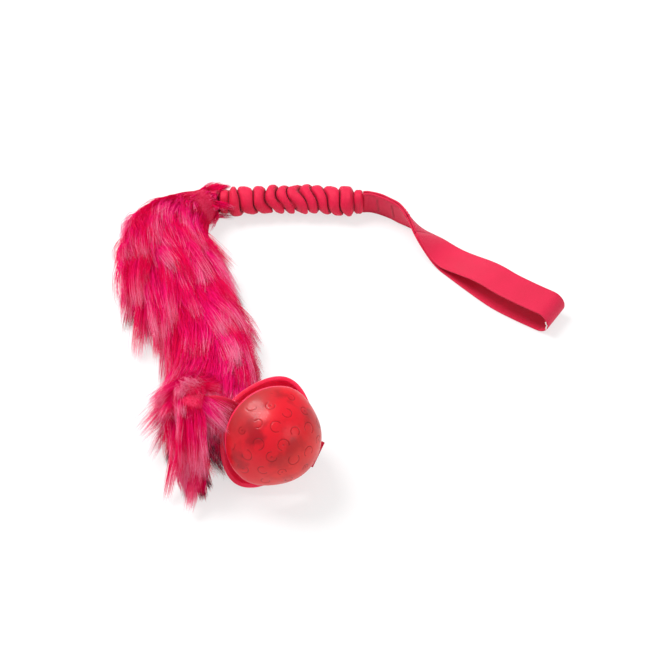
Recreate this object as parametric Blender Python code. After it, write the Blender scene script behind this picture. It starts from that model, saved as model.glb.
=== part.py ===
# Faux fur tug toy, lying on a table: a grip loop of webbing, a gathered elastic
# sleeve, a tail of long-pile fur over a flat strap, and a hollow rubber ball
# whose two halves open like a clam. Metres, +Z up, X along the elastic sleeve.
import math

import bmesh
import bpy
from mathutils import Matrix, Vector

# Gaps between pieces that touch on the real toy
SEAT = 0.0003
BORE_CLEARANCE = 0.0006

# Flat strap that runs from the elastic sleeve through the fur into the ball
STRAP_WIDTH = 0.020
STRAP_THICKNESS = 0.0018

# Fur tail, with its pile pressed down
FUR_WIDTH = 0.070
FUR_HEIGHT = 0.042
FUR_COLLAR_WIDTH = 0.028
FUR_COLLAR_HEIGHT = 0.023
FUR_CUFF_WIDTH = 0.024
FUR_CUFF_HEIGHT = 0.028
FUR_SWELL_LENGTH = 0.042
FUR_TAPER_LENGTH = 0.074
FUR_FLOOR_GAP = 0.001
FUR_FOLD_INNER = 0.70
FUR_FOLD_REACH = 0.0625
FUR_FOLD_FADE = 0.0417
FUR_SKIRT_REACH = 0.024
FUR_SKIRT_START = 0.35
FUR_SKIRT_UNDERCUT = 0.6
FUR_END_RIM = 0.001
FUR_SKIRT_EDGE_HEIGHT = 0.012
FOLD_START = 0.027
FOLD_LENGTH = 0.050

# Elastic sleeve
CORD_DIAMETER = 0.009
SLEEVE_LENGTH = 0.094
SLEEVE_BORE_CLEARANCE = 0.0015
SLEEVE_WALL = 0.0022
PLEAT_DEPTH = 0.0032
PLEAT_COUNT = 10
PLEAT_LEAN = 0.0035
SLEEVE_BOW = 0.003
SEAM_LENGTH = 0.0055
SEAM_WIDTH = 0.0195
SEAM_THICKNESS = 0.0150

# Grip loop
HANDLE_WIDTH = 0.025
HANDLE_THICKNESS = 0.0016
LAYER_GAP = 0.0003
LOOP_OPENING = 0.0155
NECK_TILT = math.radians(12)
NECK_BEND_LENGTH = 0.008
NECK_LENGTH = 0.036
TWIST_BEND_LENGTH = 0.012
TILT_START = 0.026
TILT_LENGTH = 0.062
LOOP_SPREAD_LENGTH = 0.062
THREAD_DIAMETER = 0.0009
THREAD_LENGTH = 0.0075

# Hollow rubber ball
BALL_RADIUS = 0.032
BALL_WALL = 0.003
LIP_FLARE = 0.0035
BACK_LIP_FLARE = 0.008
BACK_LIP_DIP = 0.6
BALL_OPENING = math.radians(25)
HALF_GAP = 0.0006
WEB_HALF_WIDTH = 0.003
WEB_HALF_ANGLE = math.radians(33)
SLOT_ANGLE = math.radians(28)
SLOT_CLEARANCE = 0.0004
NECK_STRAP_LENGTH = 0.011
STOP_DEPTH = 0.0048
STOP_HEIGHT = 0.0085
STOP_OVERHANG = 0.0015

# Thread of the bar tacks
TACK_THICKNESS = 0.0009
TACK_WIDTH = 0.0012
NECK_TACK_PLACES = (0.004, 0.017)

# Straight length of a strap where it meets a seam
STRAIGHT_END = 0.005

# Strap where it turns into the ball: the length over which it rolls, and how far
# before the mouth its bend ends
STRAP_ROLL_LENGTH = 0.045
MOUTH_SETBACK = 0.006
LIP_OFFSET = Vector((0.011, 0, -0.0005))
MOUTH_BOWS = ((0.40, Vector((-0.0110, -0.0030, -0.0045))),
              (0.78, Vector((-0.0110, -0.0075, 0.0035))))

# Place of the parts on the table: the centre of the part's box is the origin
LAYOUT_ORIGIN = Vector((0.0076, -0.0156, 0.0))
SLEEVE_START = Vector((-0.0777, 0.1210, 0.0))
BALL_PLACE = Vector((-0.0393, -0.1346, 0.0))
BALL_SLIT_NORMAL = Vector((0.350, -0.770, 0.532)).normalized()
BALL_MOUTH = Vector((-0.830, 0.010, 0.558))

STEP = 0.006
FUR_SIDES = 24
BALL_SIDES = 48
BALL_RINGS = 11


def smooth(x):
    x = min(max(x, 0.0), 1.0)
    return x * x * (3.0 - 2.0 * x)


class Route:
    """A smooth curve through points, read by its length."""

    def __init__(self, points, samples=24):
        points = [Vector(p) for p in points]
        ends = [2 * points[0] - points[1]] + points + [2 * points[-1] - points[-2]]
        self.points = []
        for a, b, c, d in zip(ends, ends[1:], ends[2:], ends[3:]):
            for i in range(samples):
                t = i / samples
                self.points.append(
                    0.5 * (2 * b + (c - a) * t + (2 * a - 5 * b + 4 * c - d) * t ** 2
                           + (3 * b - a - 3 * c + d) * t ** 3))
        self.points.append(points[-1])
        self.lengths = [0.0]
        for a, b in zip(self.points, self.points[1:]):
            self.lengths.append(self.lengths[-1] + (b - a).length)
        self.length = self.lengths[-1]

    def at(self, s):
        s = min(max(s, 0.0), self.length)
        low, high = 0, len(self.lengths) - 1
        while high - low > 1:
            middle = (low + high) // 2
            low, high = (middle, high) if self.lengths[middle] <= s else (low, middle)
        span = self.lengths[high] - self.lengths[low]
        return self.points[low].lerp(self.points[high], (s - self.lengths[low]) / span)

    def tangent(self, s, reach=0.002):
        return (self.at(s + reach) - self.at(s - reach)).normalized()

    def side_and_up(self, s):
        tangent = self.tangent(s)
        side = Vector((0, 0, 1)).cross(tangent).normalized()
        return side, tangent.cross(side)

    def nearest(self, place):
        best = min(range(len(self.points)), key=lambda i: (self.points[i] - place).length)
        return self.lengths[best]


# Clearing the scene, materials, joint empties and pieces

def clear_scene():
    for thing in list(bpy.data.objects):
        bpy.data.objects.remove(thing, do_unlink=True)


def material(name, colour, roughness):
    finish = bpy.data.materials.new(name)
    finish.use_nodes = True
    shader = finish.node_tree.nodes["Principled BSDF"]
    shader.inputs["Base Color"].default_value = (*colour, 1.0)
    shader.inputs["Roughness"].default_value = roughness
    shader.inputs["Metallic"].default_value = 0.0
    finish.diffuse_color = (*colour, 1.0)
    return finish


def joint_empty(name, place, parent=None):
    empty = bpy.data.objects.new(name, None)
    empty.empty_display_size = 0.01
    empty["place"] = tuple(place)
    parent_place = Vector(parent["place"]) if parent else Vector()
    empty.parent = parent
    empty.location = place - parent_place
    bpy.context.collection.objects.link(empty)
    return empty


def piece(name, bm, finish, joint, smooth_angle=35):
    """Put a mesh, built where it lies on the table, under its joint's empty."""
    bmesh.ops.recalc_face_normals(bm, faces=bm.faces[:])
    origin = Vector(joint["place"])
    bmesh.ops.translate(bm, verts=bm.verts, vec=-origin)
    mesh = bpy.data.meshes.new(name)
    bm.to_mesh(mesh)
    bm.free()
    mesh.materials.append(finish)
    mesh.shade_smooth()
    mesh.set_sharp_from_angle(angle=math.radians(smooth_angle))
    thing = bpy.data.objects.new(name, mesh)
    bpy.context.collection.objects.link(thing)
    thing.parent = joint
    return thing


# Mesh helpers: lofts of rings, ribbons, blocks and rods

def add_ring(bm, points):
    return [bm.verts.new(p) for p in points]


def bridge(bm, ring_a, ring_b):
    count = len(ring_a)
    for i in range(count):
        j = (i + 1) % count
        bm.faces.new((ring_a[i], ring_a[j], ring_b[j], ring_b[i]))


def loft(bm, rings):
    """A closed solid through rings of the same number of points."""
    made = [add_ring(bm, ring) for ring in rings]
    for a, b in zip(made, made[1:]):
        bridge(bm, a, b)
    bm.faces.new(list(reversed(made[0])))
    bm.faces.new(made[-1])


def loft_tube(bm, outer_rings, inner_rings):
    """A solid with a bore, open at both ends."""
    outer = [add_ring(bm, ring) for ring in outer_rings]
    inner = [add_ring(bm, ring) for ring in inner_rings]
    for a, b in zip(outer, outer[1:]):
        bridge(bm, a, b)
    for a, b in zip(inner, inner[1:]):
        bridge(bm, b, a)
    bridge(bm, inner[0], outer[0])
    bridge(bm, outer[-1], inner[-1])


def stations(start, end, step=STEP):
    count = max(2, round((end - start) / step))
    return [start + (end - start) * i / count for i in range(count + 1)]


def rectangle(centre, across, half_across, along, half_along):
    return [centre + across * (half_across * i) + along * (half_along * j)
            for i, j in ((-1, -1), (1, -1), (1, 1), (-1, 1))]


def block(bm, centre, axes, half_sizes, chamfer=0.0):
    """A box with bevelled edges on three given axes."""
    x, y, z = axes
    a, b, c = half_sizes
    rings = [rectangle(centre + z * (c * k), x, a, y, b) for k in (-1, 1)]
    part = bmesh.new()
    loft(part, rings)
    if chamfer:
        bmesh.ops.bevel(part, geom=part.edges[:], offset=chamfer, segments=2,
                        profile=0.6, affect="EDGES")
    keep = bpy.data.meshes.new("block")
    part.to_mesh(keep)
    part.free()
    bm.from_mesh(keep)
    bpy.data.meshes.remove(keep)


def bar_tack(centre, along, across, out, length):
    """A row of thread across a strap's face."""
    bm = bmesh.new()
    block(bm, centre, (across, along, out),
          (length / 2, TACK_WIDTH / 2, TACK_THICKNESS / 2), TACK_THICKNESS * 0.3)
    return bm


# Strap route: from the elastic sleeve, round the fold, down the tail and into the ball

def ball_frame():
    """Axes of the ball: mouth, hinge line, slit normal; and its centre."""
    normal = BALL_SLIT_NORMAL
    mouth = (BALL_MOUTH - normal * BALL_MOUTH.dot(normal)).normalized()
    hinge = normal.cross(mouth)
    frame = Matrix((mouth, hinge, normal)).transposed().to_4x4()
    # The ball rests on its back half, whose centre the opening moves down
    back = Vector((BALL_RADIUS * (math.cos(BALL_OPENING) - 1), 0,
                   -BALL_RADIUS * math.sin(BALL_OPENING)))
    height = BALL_RADIUS - (frame.to_3x3() @ back).z
    return Matrix.Translation(BALL_PLACE + Vector((0, 0, height))) @ frame


def opened(point):
    """A point of the back half, turned open about the hinge line."""
    hinge_line = Vector((-BALL_RADIUS, 0, 0))
    return Matrix.Rotation(BALL_OPENING, 3, "Y") @ (point - hinge_line) + hinge_line


def slot_point(radius):
    return opened(Vector((-math.cos(SLOT_ANGLE), 0, -math.sin(SLOT_ANGLE))) * radius)


def strap_route(axis_height):
    frame = ball_frame()
    mouth = (Vector((BALL_RADIUS, 0, 0)) + opened(Vector((BALL_RADIUS, 0, 0)))) / 2
    stop = slot_point(BALL_RADIUS + SEAT)
    strap_height = FUR_HEIGHT / 2
    start = Vector((SLEEVE_START.x - SEAM_LENGTH - 3 * SEAT, SLEEVE_START.y, axis_height))
    tail = [(-0.0970, 0.1165), (-0.1070, 0.1065), (-0.1145, 0.0915), (-0.1175, 0.0750),
            (-0.1150, 0.0560), (-0.1090, 0.0200), (-0.0995, -0.0150), (-0.0930, -0.0480),
            (-0.0925, -0.0750)]
    points = [start, start - Vector((STRAIGHT_END, 0, 0))]
    for i, (x, y) in enumerate(tail):
        rise = axis_height + (strap_height - axis_height) * smooth((i + 1) / 4)
        points.append(Vector((x, y, rise)))
    # The strap bows outwards on its way from the tail to the ball's lips
    last = points[-1]
    lip = frame @ (mouth + LIP_OFFSET)
    points += [last.lerp(lip, share) + bow for share, bow in MOUTH_BOWS]
    points.append(lip)
    points.append(frame @ mouth)
    points.append(frame @ mouth.lerp(stop, 0.5))
    points.append(frame @ stop)
    return Route(points)


def strap_roll(route, s, swing):
    """The strap stands on edge in the fur and lies along the hinge line in the ball."""
    side, up = route.side_and_up(route.length - 0.01)
    hinge = -Vector(ball_frame().col[1][:3])
    turned = math.atan2(hinge.dot(side), hinge.dot(up))
    return turned * smooth((s - swing) / STRAP_ROLL_LENGTH + 1)


def strap_section(route, s, swing, half_width, half_thickness):
    side, up = route.side_and_up(s)
    roll = strap_roll(route, s, swing)
    wide = up * math.cos(roll) + side * math.sin(roll)
    thin = side * math.cos(roll) - up * math.sin(roll)
    return rectangle(route.at(s), thin, half_thickness, wide, half_width)


def strap_piece(route, start, end, swing, fur_end=None):
    """A stretch of strap, with the same rings as the fur that it runs through."""
    places = stations(start, fur_end or end)
    places += [end] if fur_end else []
    bm = bmesh.new()
    loft(bm, [strap_section(route, s, swing, STRAP_WIDTH / 2, STRAP_THICKNESS / 2)
              for s in places])
    return bm


# Fur

def fur_sizes(s, end, strap_height):
    """Reach outwards, inwards, down and up; the outer edge's drop; the skirt's share."""
    swell = smooth(s / FUR_SWELL_LENGTH)
    taper = smooth((s - end + FUR_TAPER_LENGTH) / FUR_TAPER_LENGTH)
    width = FUR_COLLAR_WIDTH + (FUR_WIDTH - FUR_COLLAR_WIDTH) * swell
    height = FUR_COLLAR_HEIGHT + (FUR_HEIGHT - FUR_COLLAR_HEIGHT) * swell
    width += (FUR_CUFF_WIDTH - width) * taper
    height += (FUR_CUFF_HEIGHT - height) * taper
    from_fold = abs(s - FOLD_START - FOLD_LENGTH / 2)
    folded = smooth((FUR_FOLD_REACH - from_fold) / FUR_FOLD_FADE)
    inner = width / 2 * (1 - (1 - FUR_FOLD_INNER) * folded)
    # Near the ball the pile hangs from the strap to the floor, as a skirt on the outer side
    outer = width / 2 + (FUR_SKIRT_REACH - width / 2) * taper
    below = height / 2 + 2 * FUR_FLOOR_GAP
    below += (strap_height - below) * taper
    drop = (strap_height - FUR_SKIRT_EDGE_HEIGHT) * taper
    return outer, inner, below, height / 2, drop, taper


def fur_outline(centre, side, up, roll, sizes, floor):
    """A round top, full sides and a flat underside that lies no lower than the floor."""
    outer, inner, below, above, drop, plumb = sizes
    down = -up.lerp(Vector((0, 0, 1)), plumb)
    ring = []
    for i in range(FUR_SIDES):
        angle = 2 * math.pi * i / FUR_SIDES - roll
        across = math.cos(angle)
        rise = math.sin(angle)
        reach = across * (inner if across > 0 else outer)
        if across > 0 > rise:
            reach *= 1 + FUR_SKIRT_UNDERCUT * plumb * rise
        point = centre + side * reach
        if rise > 0:
            point += up * (above * rise)
        else:
            point += down * (below * min(1.0, -rise * 1.25))
        point.z -= drop * smooth((-across - FUR_SKIRT_START) / (1 - FUR_SKIRT_START))
        point.z = max(point.z, floor)
        ring.append(point)
    return ring


def bore_outline(route, s, swing, margin=0.0):
    """The strap's slot through the fur, with a point at each corner."""
    side, up = route.side_and_up(s)
    roll = strap_roll(route, s, swing)
    wide = up * math.cos(roll) + side * math.sin(roll)
    thin = side * math.cos(roll) - up * math.sin(roll)
    half_width = STRAP_WIDTH / 2 + BORE_CLEARANCE + margin
    half_thickness = STRAP_THICKNESS / 2 + BORE_CLEARANCE + margin
    ring = []
    for i in range(FUR_SIDES):
        angle = 2 * math.pi * i / FUR_SIDES
        x, y = math.cos(angle), math.sin(angle)
        reach = max(abs(x), abs(y))
        ring.append(route.at(s) + thin * (half_thickness * x / reach)
                    + wide * (half_width * y / reach))
    return ring


def fur_piece(route, start, end, fur_end, swing, floor=FUR_FLOOR_GAP):
    outer, inner = [], []
    for s in stations(start, end):
        side, up = route.side_and_up(s)
        sizes = fur_sizes(s, fur_end, route.at(s).z)
        roll = strap_roll(route, s, swing)
        outer.append(fur_outline(route.at(s), side, up, roll, sizes, floor))
        inner.append(bore_outline(route, s, swing))
    if end == fur_end:
        outer.append(bore_outline(route, end, swing, FUR_END_RIM))
    bm = bmesh.new()
    loft_tube(bm, outer, inner)
    return bm


# Elastic sleeve

def sleeve_bore():
    return CORD_DIAMETER / 2 + SLEEVE_BORE_CLEARANCE


def sleeve_crest():
    return sleeve_bore() + SLEEVE_WALL + PLEAT_DEPTH


def sleeve_axis(u, axis_height):
    bow = SLEEVE_BOW * math.sin(math.pi * u)
    return SLEEVE_START + Vector((SLEEVE_LENGTH * u, bow, axis_height))


def sleeve(axis_height, sides=24, rings_per_pleat=6):
    """Gathered webbing: round pleats that lean over, about a straight bore."""
    count = PLEAT_COUNT * rings_per_pleat
    outer, inner = [], []
    for k in range(count + 1):
        u = k / count
        centre = sleeve_axis(u, axis_height)
        wave = 0.5 - 0.5 * math.cos(2 * math.pi * u * PLEAT_COUNT)
        radius = sleeve_bore() + SLEEVE_WALL + PLEAT_DEPTH * wave ** 0.7
        lean = PLEAT_LEAN * smooth(min(u, 1 - u) * PLEAT_COUNT)
        ring = []
        for i in range(sides):
            angle = 2 * math.pi * i / sides
            y, z = math.cos(angle), math.sin(angle)
            ring.append(centre + Vector((-lean * z, radius * y, radius * z)))
        outer.append(ring)
    for k in range(0, count + 1, rings_per_pleat):
        centre = sleeve_axis(k / count, axis_height)
        inner.append([centre + Vector((0, sleeve_bore() * math.cos(2 * math.pi * i / sides),
                                       sleeve_bore() * math.sin(2 * math.pi * i / sides)))
                      for i in range(sides)])
    bm = bmesh.new()
    loft_tube(bm, outer, inner)
    return bm


def elastic_cord(axis_height, sides=14):
    rings = []
    for k in range(PLEAT_COUNT + 1):
        centre = sleeve_axis(k / PLEAT_COUNT, axis_height)
        rings.append([centre + Vector((0, CORD_DIAMETER / 2 * math.cos(2 * math.pi * i / sides),
                                       CORD_DIAMETER / 2 * math.sin(2 * math.pi * i / sides)))
                      for i in range(sides)])
    bm = bmesh.new()
    loft(bm, rings)
    return bm


def sleeve_seam(x, axis_height):
    """The sleeve's gathered end, pressed flat and sewn through."""
    bm = bmesh.new()
    block(bm, Vector((x, SLEEVE_START.y, axis_height)),
          (Vector((1, 0, 0)), Vector((0, 1, 0)), Vector((0, 0, 1))),
          (SEAM_LENGTH / 2, SEAM_THICKNESS / 2, SEAM_WIDTH / 2), SEAM_LENGTH * 0.3)
    return bm


# Grip loop: two layers of one strap, on edge at the neck and flat at the loop

class Handle:
    def __init__(self):
        start = Vector((SLEEVE_START.x + SLEEVE_LENGTH + SEAM_LENGTH + 3 * SEAT,
                        SLEEVE_START.y, 0))
        self.neck_start = NECK_BEND_LENGTH + SEAT
        self.neck_end = self.neck_start + NECK_LENGTH
        self.loop_start = self.neck_end + TWIST_BEND_LENGTH + 2 * SEAT
        corners = [(0.0135, -0.0028), (0.0260, -0.0110), (0.0370, -0.0215), (0.0470, -0.0330),
                   (0.0570, -0.0430), (0.0680, -0.0545), (0.0830, -0.0705), (0.0995, -0.0870),
                   (0.1150, -0.0985), (0.1305, -0.1085)]
        straight = start + Vector((STRAIGHT_END, 0, 0))
        self.route = Route([start, straight] + [start + Vector((x, y, 0)) for x, y in corners])
        self.end = self.route.length

    def tilt(self, s):
        """Turn of the layers: nearly upright at the neck, flat at the loop."""
        turned = smooth((s - TILT_START) / TILT_LENGTH)
        return NECK_TILT + (math.pi / 2 - NECK_TILT) * turned

    def spread(self, s):
        """Distance between the middles of the two layers."""
        closed = HANDLE_THICKNESS + LAYER_GAP
        return closed + LOOP_OPENING * smooth((s - self.loop_start) / LOOP_SPREAD_LENGTH)

    def height(self, s):
        tilt = self.tilt(s)
        return (HANDLE_WIDTH / 2 * math.cos(tilt) + self.spread(s) / 2 * math.sin(tilt)
                + HANDLE_THICKNESS / 2)

    def axis_height(self):
        return max(self.height(0), sleeve_crest() + SEAT)

    def frame(self, s):
        """Middle of the two layers, direction, width and way through the stack."""
        place = self.route.at(s)
        lift = (self.axis_height() - self.height(0)) * (1 - smooth(s / self.loop_start))
        place.z = self.height(s) + lift
        ahead = self.route.tangent(s)
        far_side = Vector((0, 0, 1)).cross(ahead).normalized()
        tilt = self.tilt(s)
        stack = far_side * math.cos(tilt) + Vector((0, 0, 1)) * math.sin(tilt)
        return place, ahead, ahead.cross(stack), stack

    def double_layer(self, start, end, width=HANDLE_WIDTH):
        """The part of the neck where both layers are sewn together."""
        rings = []
        for s in stations(start, end, 0.004):
            place, _, wide, stack = self.frame(s)
            rings.append(rectangle(place, stack, HANDLE_THICKNESS + LAYER_GAP / 2,
                                   wide, width / 2))
        bm = bmesh.new()
        loft(bm, rings)
        return bm

    def loop(self, turns=12):
        rings = []
        for s in stations(self.loop_start, self.end, 0.005):
            place, _, wide, stack = self.frame(s)
            rings.append(rectangle(place + stack * (self.spread(s) / 2), stack,
                                   HANDLE_THICKNESS / 2, wide, HANDLE_WIDTH / 2))
        upper = rings
        lower = []
        for s in stations(self.loop_start, self.end, 0.005):
            place, _, wide, stack = self.frame(s)
            lower.append(rectangle(place - stack * (self.spread(s) / 2), -stack,
                                   HANDLE_THICKNESS / 2, wide, HANDLE_WIDTH / 2))
        place, ahead, wide, stack = self.frame(self.end)
        radius = self.spread(self.end) / 2
        bend = []
        for i in range(1, turns):
            angle = math.pi * i / turns
            out = stack * math.cos(angle) + ahead * math.sin(angle)
            bend.append(rectangle(place + out * radius, out, HANDLE_THICKNESS / 2,
                                  wide, HANDLE_WIDTH / 2))
        bm = bmesh.new()
        loft(bm, upper + bend + list(reversed(lower)))
        return bm

    def thread(self):
        """A loose thread that hangs at the near edge of the loop's end."""
        place, ahead, wide, stack = self.frame(self.end)
        radius = self.spread(self.end) / 2
        edge = place + wide * (HANDLE_WIDTH / 2 + SEAT + THREAD_DIAMETER / 2)
        rings = []
        for i in range(7):
            angle = math.radians(60) + THREAD_LENGTH / radius * i / 6
            out = stack * math.cos(angle) + ahead * math.sin(angle)
            centre = edge + out * radius
            rings.append([centre + out * (THREAD_DIAMETER / 2 * math.cos(math.pi * k / 3))
                          + wide * (THREAD_DIAMETER / 2 * math.sin(math.pi * k / 3))
                          for k in range(6)])
        bm = bmesh.new()
        loft(bm, rings)
        return bm

    def neck_tack(self, s):
        """A bar tack on the near face of the neck, where the loop is sewn."""
        place, ahead, wide, stack = self.frame(s)
        face = place - stack * (HANDLE_THICKNESS + LAYER_GAP / 2 + SEAT + TACK_THICKNESS / 2)
        return bar_tack(face, ahead, wide, stack, HANDLE_WIDTH * 0.6)


# Ball

def lip_flare(angle, flare, dip):
    """The lips roll outwards on both sides of the mouth, and less at its middle."""
    open_side = 0.5 + 0.5 * math.cos(angle)
    middle = smooth((open_side - 0.6) / 0.35)
    return flare * smooth((open_side - 0.18) / 0.42) * (1 - dip * middle)


def rim_height(angle):
    """How far a half stops short of the slit plane; more where the hinge web lies."""
    from_hinge = abs(abs(angle) - math.pi)
    return WEB_HALF_WIDTH if from_hinge < WEB_HALF_ANGLE + 2 * math.pi / BALL_SIDES else HALF_GAP


def half_shell_point(angle, share, radius, flare, dip):
    """A point of a half ball with its pole along +Z, its rim near Z = 0."""
    end = math.acos(rim_height(angle) / BALL_RADIUS)
    polar = end * share
    roll = smooth((share - 0.62) / 0.38)
    out = radius * math.sin(polar) + lip_flare(angle, flare, dip) * roll
    return Vector((out * math.cos(angle), out * math.sin(angle), radius * math.cos(polar)))


def half_shell(flare, dip, place):
    """A bowl with a wall; place turns each point to where it lies."""
    bm = bmesh.new()
    angles = [2 * math.pi * i / BALL_SIDES - math.pi for i in range(BALL_SIDES)]
    outer_rings, inner_rings = [], []
    for k in range(1, BALL_RINGS + 1):
        share = k / BALL_RINGS
        outer = [half_shell_point(a, share, BALL_RADIUS, flare, dip) for a in angles]
        inner = [half_shell_point(a, share, BALL_RADIUS - BALL_WALL, flare, dip) for a in angles]
        for a, b in zip(outer, inner):
            b.z = a.z if k == BALL_RINGS else b.z
        outer_rings.append(add_ring(bm, [place(p) for p in outer]))
        inner_rings.append(add_ring(bm, [place(p) for p in inner]))
    for a, b in zip(outer_rings, outer_rings[1:]):
        bridge(bm, a, b)
    for a, b in zip(inner_rings, inner_rings[1:]):
        bridge(bm, b, a)
    bridge(bm, outer_rings[-1], inner_rings[-1])
    for ring, height in ((outer_rings[0], BALL_RADIUS), (inner_rings[0], BALL_RADIUS - BALL_WALL)):
        pole = bm.verts.new(place(Vector((0, 0, height))))
        for i in range(BALL_SIDES):
            j = (i + 1) % BALL_SIDES
            bm.faces.new((ring[i], ring[j], pole))
    return bm


def front_half(frame):
    return half_shell(LIP_FLARE, 0.0, lambda p: frame @ p)


def back_half(frame):
    return half_shell(BACK_LIP_FLARE, BACK_LIP_DIP,
                      lambda p: frame @ opened(Vector((p.x, -p.y, -p.z))))


def hinge_web(frame, steps=12):
    """The strip of the ball's wall that joins the halves and bends."""
    rings = []
    edge = WEB_HALF_WIDTH - SEAT
    for i in range(steps + 1):
        angle = math.pi - WEB_HALF_ANGLE + 2 * WEB_HALF_ANGLE * i / steps
        ring = []
        for radius, side in ((BALL_RADIUS, 1), (BALL_RADIUS, -1),
                             (BALL_RADIUS - BALL_WALL, -1), (BALL_RADIUS - BALL_WALL, 1)):
            point = Vector((radius * math.cos(angle), radius * math.sin(angle), side * edge))
            ring.append(frame @ (point if side > 0 else opened(point)))
        rings.append(ring)
    bm = bmesh.new()
    loft(bm, rings)
    return bm


def cut_slot(shell, frame):
    """Cut the strap's slot through the back half with a hidden cutter."""
    inside = slot_point(BALL_RADIUS - 3 * BALL_WALL)
    outside = slot_point(BALL_RADIUS + 2 * BALL_WALL)
    through = (outside - inside).normalized()
    hinge = Vector((0, 1, 0))
    turn = frame.to_3x3()
    bm = bmesh.new()
    block(bm, frame @ ((inside + outside) / 2),
          (turn @ hinge, turn @ through.cross(hinge), turn @ through),
          (STRAP_WIDTH / 2 + SLOT_CLEARANCE, STRAP_THICKNESS / 2 + SLOT_CLEARANCE,
           (outside - inside).length / 2))
    cutter = piece("slot_cutter", bm, shell.data.materials[0], shell.parent)
    cutter.hide_render = True
    cutter.display_type = "WIRE"
    cut = shell.modifiers.new("strap slot", "BOOLEAN")
    cut.operation = "DIFFERENCE"
    cut.solver = "EXACT"
    cut.object = cutter


def strap_stop(frame):
    """The strap's end, folded over outside the ball so that it can't pull back."""
    inner = slot_point(BALL_RADIUS + 2 * SEAT)
    through = (slot_point(BALL_RADIUS * 2) - inner).normalized()
    hinge = Vector((0, 1, 0))
    turn = frame.to_3x3()
    axes = (turn @ hinge, turn @ through.cross(hinge), turn @ through)
    half_sizes = (STRAP_WIDTH / 2 + STOP_OVERHANG, STOP_HEIGHT / 2, STOP_DEPTH / 2)
    centre = frame @ (inner + through * (STOP_DEPTH / 2))
    bm = bmesh.new()
    block(bm, centre, axes, half_sizes, 0.0012)
    face = centre + axes[2] * (STOP_DEPTH / 2 + SEAT + TACK_THICKNESS / 2)
    return bm, bar_tack(face, axes[1], axes[0], axes[2], STRAP_WIDTH * 0.8)


def strap_tack(route, s, swing):
    """A band of thread round the strap, at the end of the fur that it holds."""
    inner, outer = [], []
    for place in (s - TACK_WIDTH / 2, s + TACK_WIDTH / 2):
        inner.append(strap_section(route, place, swing, STRAP_WIDTH / 2 + SEAT,
                                   STRAP_THICKNESS / 2 + SEAT))
        outer.append(strap_section(route, place, swing, STRAP_WIDTH / 2 + SEAT + TACK_THICKNESS,
                                   STRAP_THICKNESS / 2 + SEAT + TACK_THICKNESS))
    bm = bmesh.new()
    loft_tube(bm, outer, inner)
    return bm


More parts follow.
